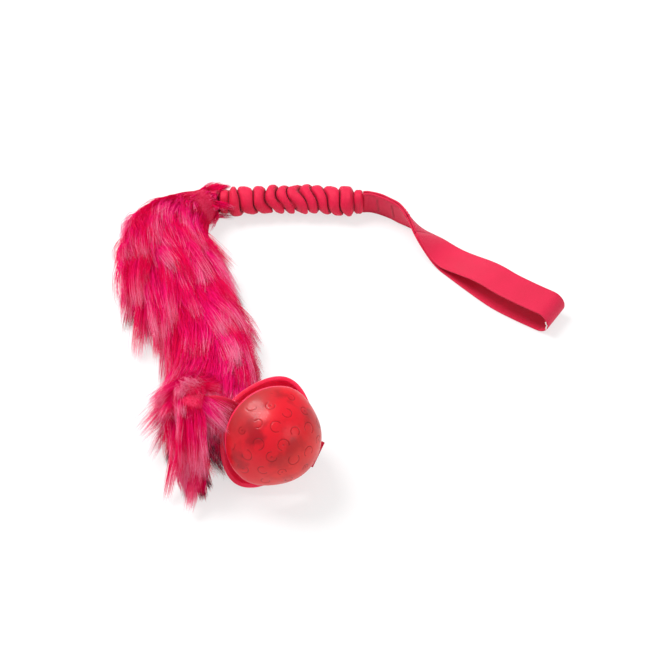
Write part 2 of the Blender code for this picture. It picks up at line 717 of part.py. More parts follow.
def build():
    clear_scene()
    fur_pink = material("hot pink fur", (0.78, 0.012, 0.11), 0.75)
    strap_red = material("red webbing", (0.80, 0.024, 0.085), 0.6)
    loop_red = material("soft red webbing", (0.84, 0.028, 0.095), 0.55)
    elastic_white = material("white elastic", (0.75, 0.72, 0.70), 0.7)
    thread_red = material("dark red thread", (0.45, 0.012, 0.05), 0.6)
    thread_white = material("white thread", (0.85, 0.83, 0.80), 0.6)
    rubber_red = material("clear red rubber", (0.66, 0.028, 0.034), 0.28)

    handle = Handle()
    axis_height = handle.axis_height()
    frame = ball_frame()
    route = strap_route(axis_height)
    mouth = frame @ ((Vector((BALL_RADIUS, 0, 0)) + opened(Vector((BALL_RADIUS, 0, 0)))) / 2)
    swing_end = route.nearest(mouth) - MOUTH_SETBACK
    swing_start = swing_end - NECK_STRAP_LENGTH
    fold_end = FOLD_START + FOLD_LENGTH
    fur_end = swing_start - TACK_WIDTH - 2 * SEAT

    # Joint axes, each an empty in the chain of bodies
    layout = joint_empty("layout", Vector((0, 0, 0)))
    tail = joint_empty("tail", Vector((0, 0, 0)), layout)
    fold = joint_empty("tail_fold_axis", route.at(FOLD_START + FOLD_LENGTH / 2), tail)
    stretch = joint_empty("bungee_stretch_axis", sleeve_axis(1, axis_height), fold)
    neck_place = handle.frame(NECK_BEND_LENGTH / 2)[0]
    neck = joint_empty("handle_swing_axis", neck_place, stretch)
    lift_place = handle.frame(handle.neck_end + TWIST_BEND_LENGTH / 2)[0]
    lift = joint_empty("loop_lift_axis", lift_place, neck)
    swing = joint_empty("ball_swing_axis", route.at((swing_start + swing_end) / 2), tail)
    jaw = joint_empty("jaw_axis", frame @ Vector((-BALL_RADIUS, 0, 0)), swing)

    # Tail: fur over the strap, with the part that folds
    piece("fur_tail", fur_piece(route, fold_end + SEAT, fur_end, fur_end, swing_end, 0),
          fur_pink, tail, 60)
    piece("core_strap", strap_piece(route, fold_end + SEAT, swing_start, swing_end, fur_end),
          strap_red, tail)
    piece("fur_tail_tack", strap_tack(route, swing_start - TACK_WIDTH / 2 - SEAT / 2, swing_end),
          thread_red, tail)
    piece("fur_fold", fur_piece(route, FOLD_START + SEAT, fold_end, fur_end, swing_end),
          fur_pink, tail, 60)
    piece("core_strap_fold", strap_piece(route, FOLD_START + SEAT, fold_end, swing_end),
          strap_red, tail)

    # Top of the tail and the elastic sleeve
    fur_top_start = TACK_WIDTH + 2 * SEAT
    piece("fur_top", fur_piece(route, fur_top_start, FOLD_START, fur_end, swing_end),
          fur_pink, fold, 60)
    piece("core_strap_top", strap_piece(route, 0, FOLD_START, swing_end), strap_red, fold)
    piece("fur_top_tack", strap_tack(route, TACK_WIDTH / 2 + SEAT / 2, swing_end),
          thread_red, fold)
    piece("sleeve_tail_seam",
          sleeve_seam(SLEEVE_START.x - SEAT - SEAM_LENGTH / 2, axis_height), strap_red, fold)
    piece("elastic_cord", elastic_cord(axis_height), elastic_white, fold)
    piece("elastic_sleeve", sleeve(axis_height), strap_red, fold, 60)
    piece("sleeve_grip_seam",
          sleeve_seam(SLEEVE_START.x + SLEEVE_LENGTH + SEAT + SEAM_LENGTH / 2, axis_height),
          strap_red, stretch)

    # Grip loop
    piece("handle_neck_bend", handle.double_layer(0, NECK_BEND_LENGTH), loop_red, stretch)
    piece("handle_neck", handle.double_layer(handle.neck_start, handle.neck_end), loop_red, neck)
    for number, along in enumerate(NECK_TACK_PLACES, 1):
        piece(f"handle_neck_tack_{number}", handle.neck_tack(handle.neck_start + along),
              thread_red, neck)
    piece("handle_loop_bend",
          handle.double_layer(handle.neck_end + SEAT, handle.loop_start - SEAT), loop_red, neck)
    piece("handle_loop", handle.loop(), loop_red, lift)
    piece("loose_thread", handle.thread(), thread_white, lift)

    # Ball
    piece("ball_strap_bend", strap_piece(route, swing_start + SEAT, swing_end, swing_end),
          strap_red, swing)
    piece("ball_strap", strap_piece(route, swing_end + SEAT, route.length, swing_end),
          strap_red, swing)
    stop, stop_tack = strap_stop(frame)
    piece("ball_strap_stop", stop, strap_red, swing)
    piece("ball_strap_stop_tack", stop_tack, thread_red, swing)
    back = piece("ball_back_half", back_half(frame), rubber_red, swing, 60)
    cut_slot(back, frame)
    piece("ball_hinge_web", hinge_web(frame), rubber_red, swing)
    piece("ball_front_half", front_half(frame), rubber_red, jaw, 60)

    layout.location = -LAYOUT_ORIGIN
    for name in ("tail_fold_axis", "handle_swing_axis", "loop_lift_axis", "ball_swing_axis",
                 "jaw_axis"):
        place = Vector(bpy.data.objects[name]["place"]) - LAYOUT_ORIGIN
        print(name, "at", [round(v, 5) for v in place])
    print("lift axis", [round(v, 4) for v in handle.frame(handle.neck_end + 0.006)[1]])
    print("jaw axis", [round(-v, 5) for v in frame.col[1][:3]])


build()
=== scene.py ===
# A faux fur tug toy on a pale table, seen from in front and above.
# Lengths are in metres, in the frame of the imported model.
import math

import bmesh
import bpy
import numpy as np
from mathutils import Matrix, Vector


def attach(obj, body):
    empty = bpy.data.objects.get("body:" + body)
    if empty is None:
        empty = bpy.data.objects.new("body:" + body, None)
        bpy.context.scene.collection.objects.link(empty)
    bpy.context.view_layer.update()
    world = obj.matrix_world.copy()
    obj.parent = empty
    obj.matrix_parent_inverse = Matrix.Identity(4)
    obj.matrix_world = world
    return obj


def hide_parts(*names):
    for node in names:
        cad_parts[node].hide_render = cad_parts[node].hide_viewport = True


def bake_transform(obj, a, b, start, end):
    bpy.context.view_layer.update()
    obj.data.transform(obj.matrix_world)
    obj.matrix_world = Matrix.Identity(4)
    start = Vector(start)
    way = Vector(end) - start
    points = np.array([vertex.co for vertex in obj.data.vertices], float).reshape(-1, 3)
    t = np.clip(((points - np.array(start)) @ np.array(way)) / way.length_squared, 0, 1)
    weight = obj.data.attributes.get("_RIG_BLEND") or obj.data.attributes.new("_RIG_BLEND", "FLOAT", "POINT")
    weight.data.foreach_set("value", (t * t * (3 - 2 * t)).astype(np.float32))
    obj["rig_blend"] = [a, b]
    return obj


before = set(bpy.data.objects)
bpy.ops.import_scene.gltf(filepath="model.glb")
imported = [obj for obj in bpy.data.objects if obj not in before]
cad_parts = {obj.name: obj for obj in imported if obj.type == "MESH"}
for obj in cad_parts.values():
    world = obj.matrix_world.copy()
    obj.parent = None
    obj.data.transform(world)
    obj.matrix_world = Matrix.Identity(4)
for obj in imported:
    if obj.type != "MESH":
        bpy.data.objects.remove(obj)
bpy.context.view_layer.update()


# Curves and small maths

def smooth(x):
    x = np.clip(x, 0.0, 1.0)
    return x * x * (3.0 - 2.0 * x)


def onset(x, start, length):
    return smooth((x - start) / length)


def unit(v):
    v = np.asarray(v, float)
    return v / np.maximum(np.linalg.norm(v, axis=-1, keepdims=True), 1e-12)


def turns(count):
    return np.arange(count) / count * 2 * math.pi


class Route:
    # A smooth curve through points, read by its length
    def __init__(self, points, samples=24):
        p = np.array(points, float)
        ends = np.vstack([2 * p[0] - p[1], p, 2 * p[-1] - p[-2]])
        t = (np.arange(samples) / samples)[:, None]
        line = []
        for a, b, c, d in zip(ends, ends[1:], ends[2:], ends[3:]):
            line.append(0.5 * (2 * b + (c - a) * t + (2 * a - 5 * b + 4 * c - d) * t ** 2
                               + (3 * b - a - 3 * c + d) * t ** 3))
        self.points = np.vstack(line + [p[-1:]])
        steps = np.linalg.norm(np.diff(self.points, axis=0), axis=1)
        self.lengths = np.concatenate([[0.0], np.cumsum(steps)])
        self.length = self.lengths[-1]

    def at(self, s):
        s = np.asarray(s, float)
        return np.stack([np.interp(s, self.lengths, self.points[:, i]) for i in range(3)], -1)

    def tangent(self, s, reach=0.002):
        s = np.asarray(s, float)
        low = np.clip(s - reach, 0, self.length)
        high = np.clip(s + reach, 0, self.length)
        return unit(self.at(high) - self.at(low))

    def sideAndUp(self, s):
        ahead = self.tangent(s)
        side = unit(np.cross([0.0, 0.0, 1.0], ahead))
        return side, np.cross(ahead, side)

    def curvature(self, s, reach=0.012):
        return (self.tangent(s + reach) - self.tangent(s - reach)) / (2 * reach)

    def nearest(self, place):
        return self.lengths[np.argmin(np.linalg.norm(self.points - place, axis=1))]


def ripple(x, y, seed, octaves=3):
    # Smooth value noise from sines, between about -1 and 1
    made = np.random.default_rng(seed)
    total = np.zeros(np.broadcast(x, y).shape)
    for k in range(octaves):
        for _ in range(3):
            a, b, c = made.uniform(-1, 1, 3)
            total = total + math.pow(0.6, k) * np.sin((a * x + b * y) * 2 ** k + c * 6.28)
    return total / 4.0


# Meshes

def meshPiece(name, points, faces, material, uv=None):
    mesh = bpy.data.meshes.new(name)
    mesh.from_pydata(np.asarray(points).reshape(-1, 3).tolist(), [], faces)
    if uv is not None:
        layer = mesh.uv_layers.new(name="weave")
        loops = np.empty(len(mesh.loops), int)
        mesh.loops.foreach_get("vertex_index", loops)
        layer.data.foreach_set("uv", np.asarray(uv[loops], np.float32).ravel())
    mesh.polygons.foreach_set("use_smooth", [True] * len(mesh.polygons))
    mesh.materials.append(material)
    thing = link(name, mesh)
    fixNormals(mesh)
    return thing


def link(name, data):
    thing = bpy.data.objects.new(name, data)
    bpy.context.scene.collection.objects.link(thing)
    return thing


def fixNormals(mesh):
    bm = bmesh.new()
    bm.from_mesh(mesh)
    bmesh.ops.recalc_face_normals(bm, faces=bm.faces[:])
    bm.to_mesh(mesh)
    bm.free()


def storeValues(mesh, name, values, kind="FLOAT"):
    data = mesh.attributes.new(name, kind, "POINT").data
    key = "vector" if kind == "FLOAT_VECTOR" else "value"
    data.foreach_set(key, np.asarray(values, np.float32).ravel())


def gridFaces(rows, columns):
    # Quads between rings of points, each ring closed
    faces = []
    for r in range(rows - 1):
        for c in range(columns):
            d = (c + 1) % columns
            faces.append((r * columns + c, r * columns + d,
                          (r + 1) * columns + d, (r + 1) * columns + c))
    return faces


def tubeFaces(rows, columns):
    # The same, with a cap at either end
    last = (rows - 1) * columns
    return gridFaces(rows, columns) + [tuple(reversed(range(columns))),
                                       tuple(range(last, last + columns))]


def ribbonSection(halfWidth, halfThickness, across=12):
    # Points round a strap's section, with rounded edges: (width, thickness) pairs
    flat = halfWidth - halfThickness
    top = [(flat * (2 * i / across - 1), halfThickness) for i in range(across + 1)]
    edge = [(flat + halfThickness * math.cos(a), halfThickness * math.sin(a))
            for a in np.radians((60, 30, 0, -30, -60))]
    half = np.array(top + edge)
    return np.vstack([half, -half])


def ribbon(name, centres, wide, thick, size, material, along):
    # A strap through centres, with its width and thickness directions at each
    section = ribbonSection(*size)
    points = (centres[:, None, :] + section[None, :, 0, None] * wide[:, None, :]
              + section[None, :, 1, None] * thick[:, None, :])
    underside = (section[None, :, 1] < 0) * 0.05
    uv = np.stack(np.broadcast_arrays(section[None, :, 0] + underside, along[:, None]), -1)
    return meshPiece(name, points, tubeFaces(len(centres), len(section)), material,
                     uv.reshape(-1, 2))


def bendPiece(thing, bodyA, bodyB, start, end):
    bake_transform(thing, bodyA, bodyB, tuple(float(v) for v in start), tuple(float(v) for v in end))


# Shader maths: a wrapped socket, so that formulas read as formulas

def plug(tree, value, socket):
    if isinstance(value, Wire):
        tree.links.new(value.socket, socket)
    elif isinstance(value, (tuple, list)) and len(value) == 3 and socket.type == "RGBA":
        socket.default_value = (*value, 1.0)
    else:
        socket.default_value = value


def wireNode(tree, kind, settings, values, output=0):
    # Any node: its type, its settings, and the values or links of its sockets
    made = tree.nodes.new(kind)
    for key, value in settings.items():
        setattr(made, key, value)
    for key, value in values.items():
        plug(tree, value, made.inputs[key])
    return Wire(tree, made.outputs[output])


def mathNode(operation, *values):
    tree = next(v.tree for v in values if isinstance(v, Wire))
    return wireNode(tree, "ShaderNodeMath", {"operation": operation}, dict(enumerate(values)))


class Wire:
    def __init__(self, tree, socket):
        self.tree, self.socket = tree, socket

    def ramp(self, low, high):
        return wireNode(self.tree, "ShaderNodeMapRange", {"interpolation_type": "SMOOTHSTEP"},
                        {0: self, 1: low, 2: high})


for word, operation in (("add", "ADD"), ("sub", "SUBTRACT"), ("mul", "MULTIPLY"),
                        ("truediv", "DIVIDE")):
    setattr(Wire, f"__{word}__", lambda a, b, op=operation: mathNode(op, a, b))
    setattr(Wire, f"__r{word}__", lambda a, b, op=operation: mathNode(op, b, a))


class Finish:
    # A material with one main shader, and a method for any other node
    def __init__(self, name, **constants):
        self.material = bpy.data.materials.new(name)
        self.material.use_nodes = True
        self.tree = self.material.node_tree
        self.shader = self.tree.nodes["Principled BSDF"]
        for key, value in constants.items():
            self.set(key.replace("_", " "), value)

    def node(self, kind, values=(), output=0, **settings):
        return wireNode(self.tree, kind, settings, dict(values), output)

    def set(self, name, value):
        plug(self.tree, value, self.shader.inputs[name])

    def mix(self, factor, a, b):
        return self.node("ShaderNodeMix", {0: factor, 6: a, 7: b}, 2, data_type="RGBA")

    def attribute(self, name):
        return self.node("ShaderNodeAttribute", output="Fac", attribute_name=name)

    def place(self):
        return self.node("ShaderNodeTexCoord", output="Object")

    def axis(self, vector, which):
        return self.node("ShaderNodeSeparateXYZ", {0: vector}, which)

    def noise(self, scale, detail=2.0, roughness=0.5):
        return self.node("ShaderNodeTexNoise", {"Vector": self.place(), "Scale": scale,
                                                "Detail": detail, "Roughness": roughness})

    def bump(self, height, strength, distance):
        self.set("Normal", self.node("ShaderNodeBump", {"Height": height, "Strength": strength,
                                                        "Distance": distance}))


# Camera and stage

view = {"elevation": 47.0, "distance": 2.0, "lens": 150.4, "sensor": 36.0,
        "target": (-0.0076, 0.0156, 0.0)}
light = {"world": 0.58, "lift": 0.62, "glow": 1.06, "floor": 0.88, "floorDrop": 0.0004,
         "lamps": {"key": ((-0.9, 0.5, 1.7), 1.1, 36.0), "side": ((1.2, -0.9, 1.3), 1.2, 8.0)}}


def makeCamera():
    data = bpy.data.cameras.new("camera")
    data.lens, data.sensor_width = view["lens"], view["sensor"]
    data.clip_start, data.clip_end = 0.1, 20.0
    camera = link("camera", data)
    tilt = math.radians(view["elevation"])
    away = Vector((0, -math.cos(tilt), math.sin(tilt)))
    camera.location = Vector(view["target"]) + view["distance"] * away
    camera.rotation_euler = (math.pi / 2 - tilt, 0, 0)
    bpy.context.scene.camera = camera


def areaLight(name, place, size, power):
    data = bpy.data.lights.new(name, "AREA")
    data.shape, data.size, data.energy = "DISK", size, power
    lamp = link(name, data)
    lamp.location = place
    lamp.rotation_euler = Vector(place).to_track_quat("Z", "Y").to_euler()


def makeStage():
    scene = bpy.context.scene
    world = bpy.data.worlds.new("studio")
    world.use_nodes = True
    back = world.node_tree.nodes["Background"]
    back.inputs["Color"].default_value = (1.0, 1.0, 1.0, 1.0)
    back.inputs["Strength"].default_value = light["world"]
    scene.world = world
    scene.view_settings.view_transform = "Standard"
    for name, lamp in light["lamps"].items():
        areaLight(name, *lamp)
    # The floor glows for the eye alone, so that the background is white and keeps the shadow
    floor = Finish("floor", Roughness=0.9, Base_Color=(light["floor"],) * 3)
    camera, glossy, through = (floor.node("ShaderNodeLightPath", output=f"Is {kind} Ray")
                               for kind in ("Camera", "Glossy", "Transmission"))
    seen = mathNode("MAXIMUM", mathNode("MAXIMUM", camera, glossy), through)
    glow = floor.node("ShaderNodeEmission", {"Color": (1.0, 1.0, 1.0), "Strength": light["glow"]})
    mixed = floor.node("ShaderNodeMixShader", {0: seen * light["lift"],
                                               1: Wire(floor.tree, floor.shader.outputs[0]),
                                               2: glow})
    plug(floor.tree, mixed, floor.tree.nodes["Material Output"].inputs["Surface"])
    ground = meshPiece("stage_floor", [(-6, -6, 0), (6, -6, 0), (6, 6, 0), (-6, 6, 0)],
                       [(0, 1, 2, 3)], floor.material)
    ground.location.z = -light["floorDrop"]


# Materials

def webbingFinish(name, colour, deep, pitch=0.00085, relief=0.5):
    # Woven strap: fine ribs along it, broken by a finer step across it, with painted shade darkening the
    # hollows between the sleeve's pleats
    made = Finish(name, Sheen_Weight=0.25, Sheen_Roughness=0.4, Sheen_Tint=(1.0, 0.4, 0.5),
                  Specular_IOR_Level=0.3)
    uv = made.node("ShaderNodeUVMap", uv_map="weave")
    x = made.axis(uv, 0) / pitch
    y = made.axis(uv, 1) / (pitch * 0.8)
    offset = mathNode("FLOOR", x) * 0.5
    rib = mathNode("SINE", x * 6.2832) * 0.5 + 0.5
    step = mathNode("SINE", (y + offset) * 6.2832) * 0.5 + 0.5
    weave = rib * 0.6 + step * 0.4
    patch = made.noise(60.0, 3.0)
    shade = weave * 0.45 + patch * 0.4 + made.noise(900.0, 1.0) * 0.25
    woven = made.mix(shade.ramp(0.15, 0.85), deep, colour)
    # Painted shade: a dark copy of the red, mixed in where the sleeve's pleats fold into valleys
    creaseShadeColour = tuple(c * 0.28 for c in deep)
    made.set("Base Color", made.mix(made.attribute("creaseShade") * 0.85, woven, creaseShadeColour))
    made.set("Roughness", patch * 0.2 + 0.5)
    made.bump(weave, relief, 0.00025)
    return made.material


def rubberFinish():
    # Clear red rubber: cloudy, with painted light where light comes through from the table on the lower
    # right, and painted shade and reflection of the fur on the upper left
    made = Finish("red_rubber", IOR=1.4, Transmission_Weight=0.16, Subsurface_Weight=0.25,
                  Subsurface_Radius=(1.0, 0.18, 0.14), Subsurface_Scale=0.010,
                  Coat_Weight=0.10, Coat_Roughness=0.12, Specular_IOR_Level=0.3)
    cloud = made.noise(48.0, 2.0, 0.55)
    veil = made.noise(120.0, 3.0, 0.6)
    red = made.mix((cloud + veil * 0.35 - 0.2).ramp(0.30, 0.52), (0.44, 0.003, 0.014),
                   (0.80, 0.006, 0.022))
    # Painted light: a paler, more orange red on the side facing the table and the lower right
    red = made.mix(made.attribute("pale") * (veil * 0.6 + 0.4), red, (0.82, 0.045, 0.040))
    # Painted shade and reflection of the fur: a duller brownish red on the upper left, on the side facing
    # the fur
    red = made.mix(made.attribute("furShade") * (veil + 0.2), red, (0.40, 0.030, 0.034))
    red = made.mix(made.attribute("groove") * 0.8, red, (0.24, 0.000, 0.004))
    made.set("Base Color", red)
    made.set("Roughness", veil * 0.22 + 0.26)
    made.bump(made.noise(150.0, 2.0), 0.10, 0.0008)
    return made.material


def lipFinish():
    # The lips glow a little: painted light standing in for the light they let through
    made = Finish("rubber_lip", Roughness=0.42, IOR=1.45, Subsurface_Weight=0.5,
                  Subsurface_Radius=(1.0, 0.2, 0.2), Subsurface_Scale=0.008,
                  Emission_Strength=0.14)
    cloud = made.noise(90.0, 3.0, 0.6)
    tone = made.mix(cloud.ramp(0.3, 0.7), (0.80, 0.010, 0.060), (0.90, 0.030, 0.105))
    made.set("Base Color", tone)
    # Painted light: the lip glows in its own colour
    made.set("Emission Color", tone)
    made.bump(cloud, 0.15, 0.0008)
    return made.material


def threadFinish(name, colour):
    made = Finish(name, Roughness=0.55, Sheen_Weight=0.2)
    place = made.place()
    twist = mathNode("SINE", (made.axis(place, 0) + made.axis(place, 2)) * 9000.0)
    made.set("Base Color", made.mix(twist * 0.25 + 0.3, colour, tuple(c * 0.6 for c in colour)))
    made.bump(twist, 0.3, 0.0002)
    return made.material


def furFinish():
    # Hair: deep at the root, hot pink along it, pale or black at some tips, with a faint glow in its own
    # colour as painted light for light scattered through the pile
    made = Finish("fur", Roughness=0.6, Specular_IOR_Level=0.06, Emission_Strength=0.10)
    along = made.attribute("along")
    tint = made.attribute("tint")
    body = made.mix(tint.ramp(0.25, 0.75), (0.78, 0.000, 0.070), (0.88, 0.006, 0.200))
    body = made.mix(along.ramp(0.0, 0.45), (0.52, 0.000, 0.030), body)
    pale = (along + tint * 0.90 - 0.45).ramp(0.62, 1.05)
    body = made.mix(pale * 0.85, body, (0.92, 0.30, 0.46))
    black = along.ramp(0.62, 0.86) * made.attribute("dark")
    body = made.mix(black, body, (0.035, 0.018, 0.028))
    made.set("Base Color", body)
    # Painted light: the hair glows faintly in its base colour
    made.set("Emission Color", body)
    return made.material


def skinFinish():
    made = Finish("fur_backing", Roughness=0.8)
    speck = made.noise(300.0, 3.0, 0.6)
    mottled = speck * 0.5 + made.noise(40.0, 2.0) * 0.5
    made.set("Base Color", made.mix(mottled, (0.42, 0.001, 0.03), (0.80, 0.006, 0.10)))
    made.bump(speck, 0.5, 0.001)
    return made.material


# Geometry node trees

class Net:
    # A tree with named inputs, and short calls for its nodes
    def __init__(self, name, inputs, output):
        self.tree = bpy.data.node_groups.new(name, "GeometryNodeTree")
        face = self.tree.interface
        for key, value in inputs.items():
            kind = {float: "Float", int: "Int"}.get(type(value), "Geometry")
            made = face.new_socket(key, in_out="INPUT", socket_type="NodeSocket" + kind)
            if value is not None:
                made.default_value = value
        face.new_socket(output, in_out="OUTPUT", socket_type="NodeSocketGeometry")
        self.given = self.tree.nodes.new("NodeGroupInput").outputs
        self.end = self.tree.nodes.new("NodeGroupOutput")

    def join(self, value, socket):
        if isinstance(value, bpy.types.NodeSocket):
            self.tree.links.new(value, socket)
        else:
            socket.default_value = value

    def add(self, kind, inputs=(), output=0, **settings):
        node = self.tree.nodes.new(kind)
        for key, value in settings.items():
            setattr(node, key, value)
        for key, value in dict(inputs).items():
            self.join(value, node.inputs[key])
        return node.outputs[output]

    def num(self, operation, *values):
        return self.add("ShaderNodeMath", enumerate(values), operation=operation)

    def vec(self, operation, *values, output=0):
        return self.add("ShaderNodeVectorMath", enumerate(values), output, operation=operation)

    def scale(self, vector, factor):
        return self.add("ShaderNodeVectorMath", {0: vector, "Scale": factor}, operation="SCALE")

    def split(self, vector):
        node = self.tree.nodes.new("ShaderNodeSeparateXYZ")
        self.join(vector, node.inputs[0])
        return node.outputs

    def gather(self, *parts):
        return self.add("ShaderNodeCombineXYZ", enumerate(parts))

    def read(self, name, kind="FLOAT"):
        return self.add("GeometryNodeInputNamedAttribute", {"Name": name}, data_type=kind)

    def store(self, geometry, name, value, kind="FLOAT", domain="POINT"):
        return self.add("GeometryNodeStoreNamedAttribute",
                        {"Geometry": geometry, "Name": name, "Value": value},
                        data_type=kind, domain=domain)

    def random(self, seed, low=0.0, high=1.0):
        return self.add("FunctionNodeRandomValue", {2: low, 3: high, "Seed": seed}, 1,
                        data_type="FLOAT")

    def randomVector(self, seed):
        return self.add("FunctionNodeRandomValue", {0: (-1, -1, -1), 1: (1, 1, 1), "Seed": seed},
                        data_type="FLOAT_VECTOR")

    def finish(self, instances, material, last=lambda geometry: geometry):
        # Realised, changed by the caller where needed, smoothed and painted
        real = last(self.add("GeometryNodeRealizeInstances", {"Geometry": instances}))
        soft = self.add("GeometryNodeSetShadeSmooth", {"Geometry": real})
        self.join(self.add("GeometryNodeSetMaterial", {"Geometry": soft, "Material": material}),
                  self.end.inputs[0])
        return self.tree


def socketId(tree, name):
    for item in tree.interface.items_tree:
        if item.item_type == "SOCKET" and item.in_out == "INPUT" and item.name == name:
            return item.identifier


def bakeNodes(name, source, tree, values):
    # Evaluates a node tree on a mesh and keeps the result as a plain mesh
    modifier = source.modifiers.new("nodes", "NODES")
    modifier.node_group = tree
    for key, value in values.items():
        modifier[socketId(tree, key)] = value
    source.update_tag()
    bpy.context.view_layer.update()
    graph = bpy.context.evaluated_depsgraph_get()
    mesh = bpy.data.meshes.new_from_object(source.evaluated_get(graph))
    mesh.name = name
    source.modifiers.remove(modifier)
    bpy.data.objects.remove(source)
    return link(name, mesh)


# Stitches: one short bar instanced along a sewn line

stitchTrees = {}


def makeStitchTree(material):
    net = Net("stitches", {"Line": None, "Pitch": 0.0024, "Length": 0.0017, "Radius": 0.00032},
              "Stitches")
    given = net.given
    curve = net.add("GeometryNodeMeshToCurve", {"Mesh": given["Line"]})
    spaced = net.add("GeometryNodeResampleCurve", {"Curve": curve, "Length": given["Pitch"]},
                     mode="LENGTH")
    tangent = net.add("GeometryNodeInputTangent")
    turn = net.add("FunctionNodeAlignRotationToVector", {"Vector": tangent}, axis="Z")
    bar = net.add("GeometryNodeMeshCylinder", {"Vertices": 8, "Side Segments": 4,
                                               "Radius": given["Radius"],
                                               "Depth": given["Length"]})
    # The bar thins towards its ends
    where = net.add("GeometryNodeInputPosition")
    reach = net.num("DIVIDE", net.num("ABSOLUTE", net.split(where)[2]), given["Length"])
    thinner = net.num("MULTIPLY_ADD", reach, -1.1, 1.0)
    shaped = net.vec("MULTIPLY", where, net.gather(thinner, thinner, 1.0))
    bar = net.add("GeometryNodeSetPosition", {"Geometry": bar, "Position": shaped})
    placed = net.add("GeometryNodeInstanceOnPoints", {"Points": spaced, "Instance": bar,
                                                      "Rotation": turn})
    return net.finish(placed, material)


def stitchLines(name, lines, material, **values):
    if material.name not in stitchTrees:
        stitchTrees[material.name] = makeStitchTree(material)
    points, edges = [], []
    for line in lines:
        base = len(points)
        points += [tuple(p) for p in line]
        edges += [(base + i, base + i + 1) for i in range(len(line) - 1)]
    mesh = bpy.data.meshes.new(name + "_lines")
    mesh.from_pydata(points, edges, [])
    made = bakeNodes(name, link(name + "_lines", mesh), stitchTrees[material.name], values)
    return made


# Shared sizes, as in the CAD

strap = {"halfWidth": 0.010, "halfThick": 0.0009, "rollLength": 0.045, "swing": 0.011,
         "beforeLips": 0.006, "furGap": 0.0018, "gap": 0.0003, "step": 0.003}
sleeve = {"start": (-0.0853, 0.1366), "length": 0.094, "pleats": 10, "bore": 0.006,
          "wall": 0.0022, "depth": 0.0033, "bow": 0.003, "seam": 0.0055, "seat": 0.0003,
          "crest": 0.0114}
handle = {"width": 0.025, "thick": 0.0016, "gap": 0.0003, "opening": 0.0155,
          "tilt": math.radians(12), "tiltStart": 0.026, "tiltLength": 0.062,
          "neckBend": 0.008, "neck": 0.036, "twist": 0.012, "spread": 0.062, "late": 0.014}
ball = {"place": (-0.0469, -0.1190), "radius": 0.032, "wall": 0.003, "flare": 0.0035,
        "backFlare": 0.008, "dip": 0.6, "opening": math.radians(25), "gap": 0.0006,
        "normal": (0.350, -0.770, 0.532), "mouth": (-0.830, 0.010, 0.558),
        "slot": math.radians(28)}
fur = {"width": 0.070, "height": 0.042, "collarWidth": 0.028, "collarHeight": 0.023,
       "cuffWidth": 0.024, "cuffHeight": 0.028, "swell": 0.042, "taper": 0.074,
       "foldStart": 0.027, "foldEnd": 0.077, "foldInner": 0.84, "foldReach": 0.0625,
       "foldFade": 0.0417, "skirt": 0.024, "skirtStart": 0.35, "undercut": 0.6,
       "edgeHeight": 0.012}


# Hand loop: two layers on edge at the neck, opening flat into the loop

handleStart = np.array([sleeve["start"][0] + sleeve["length"] + sleeve["seam"]
                        + 3 * sleeve["seat"], sleeve["start"][1], 0.0])
handleCorners = [(0, 0), (0.005, 0), (0.0135, -0.0028), (0.0260, -0.0110), (0.0370, -0.0215),
                 (0.0470, -0.0330), (0.0570, -0.0430), (0.0680, -0.0545), (0.0830, -0.0705),
                 (0.0995, -0.0870), (0.1150, -0.0985), (0.1305, -0.1085)]
handleRoute = Route([handleStart + np.array([x, y, 0]) for x, y in handleCorners])
neckStart = handle["neckBend"] + sleeve["seat"]
neckEnd = neckStart + handle["neck"]
loopStart = neckEnd + handle["twist"] + 2 * sleeve["seat"]
webSize = (handle["width"] / 2 - 0.0001, handle["thick"] / 2 - 0.00005)
sewing = {"edge": 0.0105, "bars": (0.004, 0.017), "barHalf": 0.0075, "barPoints": 14,
          "zigzag": 0.00035, "rowGap": 0.0005}
loose = {"radius": 0.00042, "length": 0.0075, "from": math.radians(60), "beyond": 0.0008,
         "points": 24, "sides": 8}


def handleTilt(s):
    rise = smooth((s - handle["tiltStart"]) / handle["tiltLength"])
    return handle["tilt"] + (math.pi / 2 - handle["tilt"]) * rise


def handleSpread(s):
    # The two layers part a little later than in the solid, as in the photo
    closed = handle["thick"] + handle["gap"]
    return closed + handle["opening"] * smooth((s - loopStart - handle["late"]) / handle["spread"])


def handleHeight(s):
    tilt = handleTilt(s)
    return (handle["width"] / 2 * np.cos(tilt) + handleSpread(s) / 2 * np.sin(tilt)
            + handle["thick"] / 2)


axisHeight = float(max(handleHeight(0.0), sleeve["crest"] + sleeve["seat"]))


def handleFrame(s):
    # Middle of the two layers, direction, width and way through the stack
    s = np.asarray(s, float)
    place = handleRoute.at(s)
    lift = (axisHeight - float(handleHeight(0.0))) * (1 - smooth(s / loopStart))
    place[..., 2] = handleHeight(s) + lift
    ahead = handleRoute.tangent(s)
    farSide = unit(np.cross([0.0, 0.0, 1.0], ahead))
    tilt = handleTilt(s)[..., None]
    stack = farSide * np.cos(tilt) + np.array([0, 0, 1.0]) * np.sin(tilt)
    return place, ahead, np.cross(ahead, stack), stack


def handleFrameAt(s):
    return (v[0] for v in handleFrame(np.full(2, s)))


def handleLayer(name, s, side, material, wave=0.0):
    place, _, wide, stack = handleFrame(s)
    centre = place + stack * (side * (handle["thick"] + handle["gap"]) / 2)
    calm = smooth(s / 0.004) * smooth((neckEnd - s) / 0.004)
    centre = centre + stack * (wave * calm * np.sin(s * 420 + side))[:, None]
    return ribbon(name, centre, wide, stack, webSize, material, s)


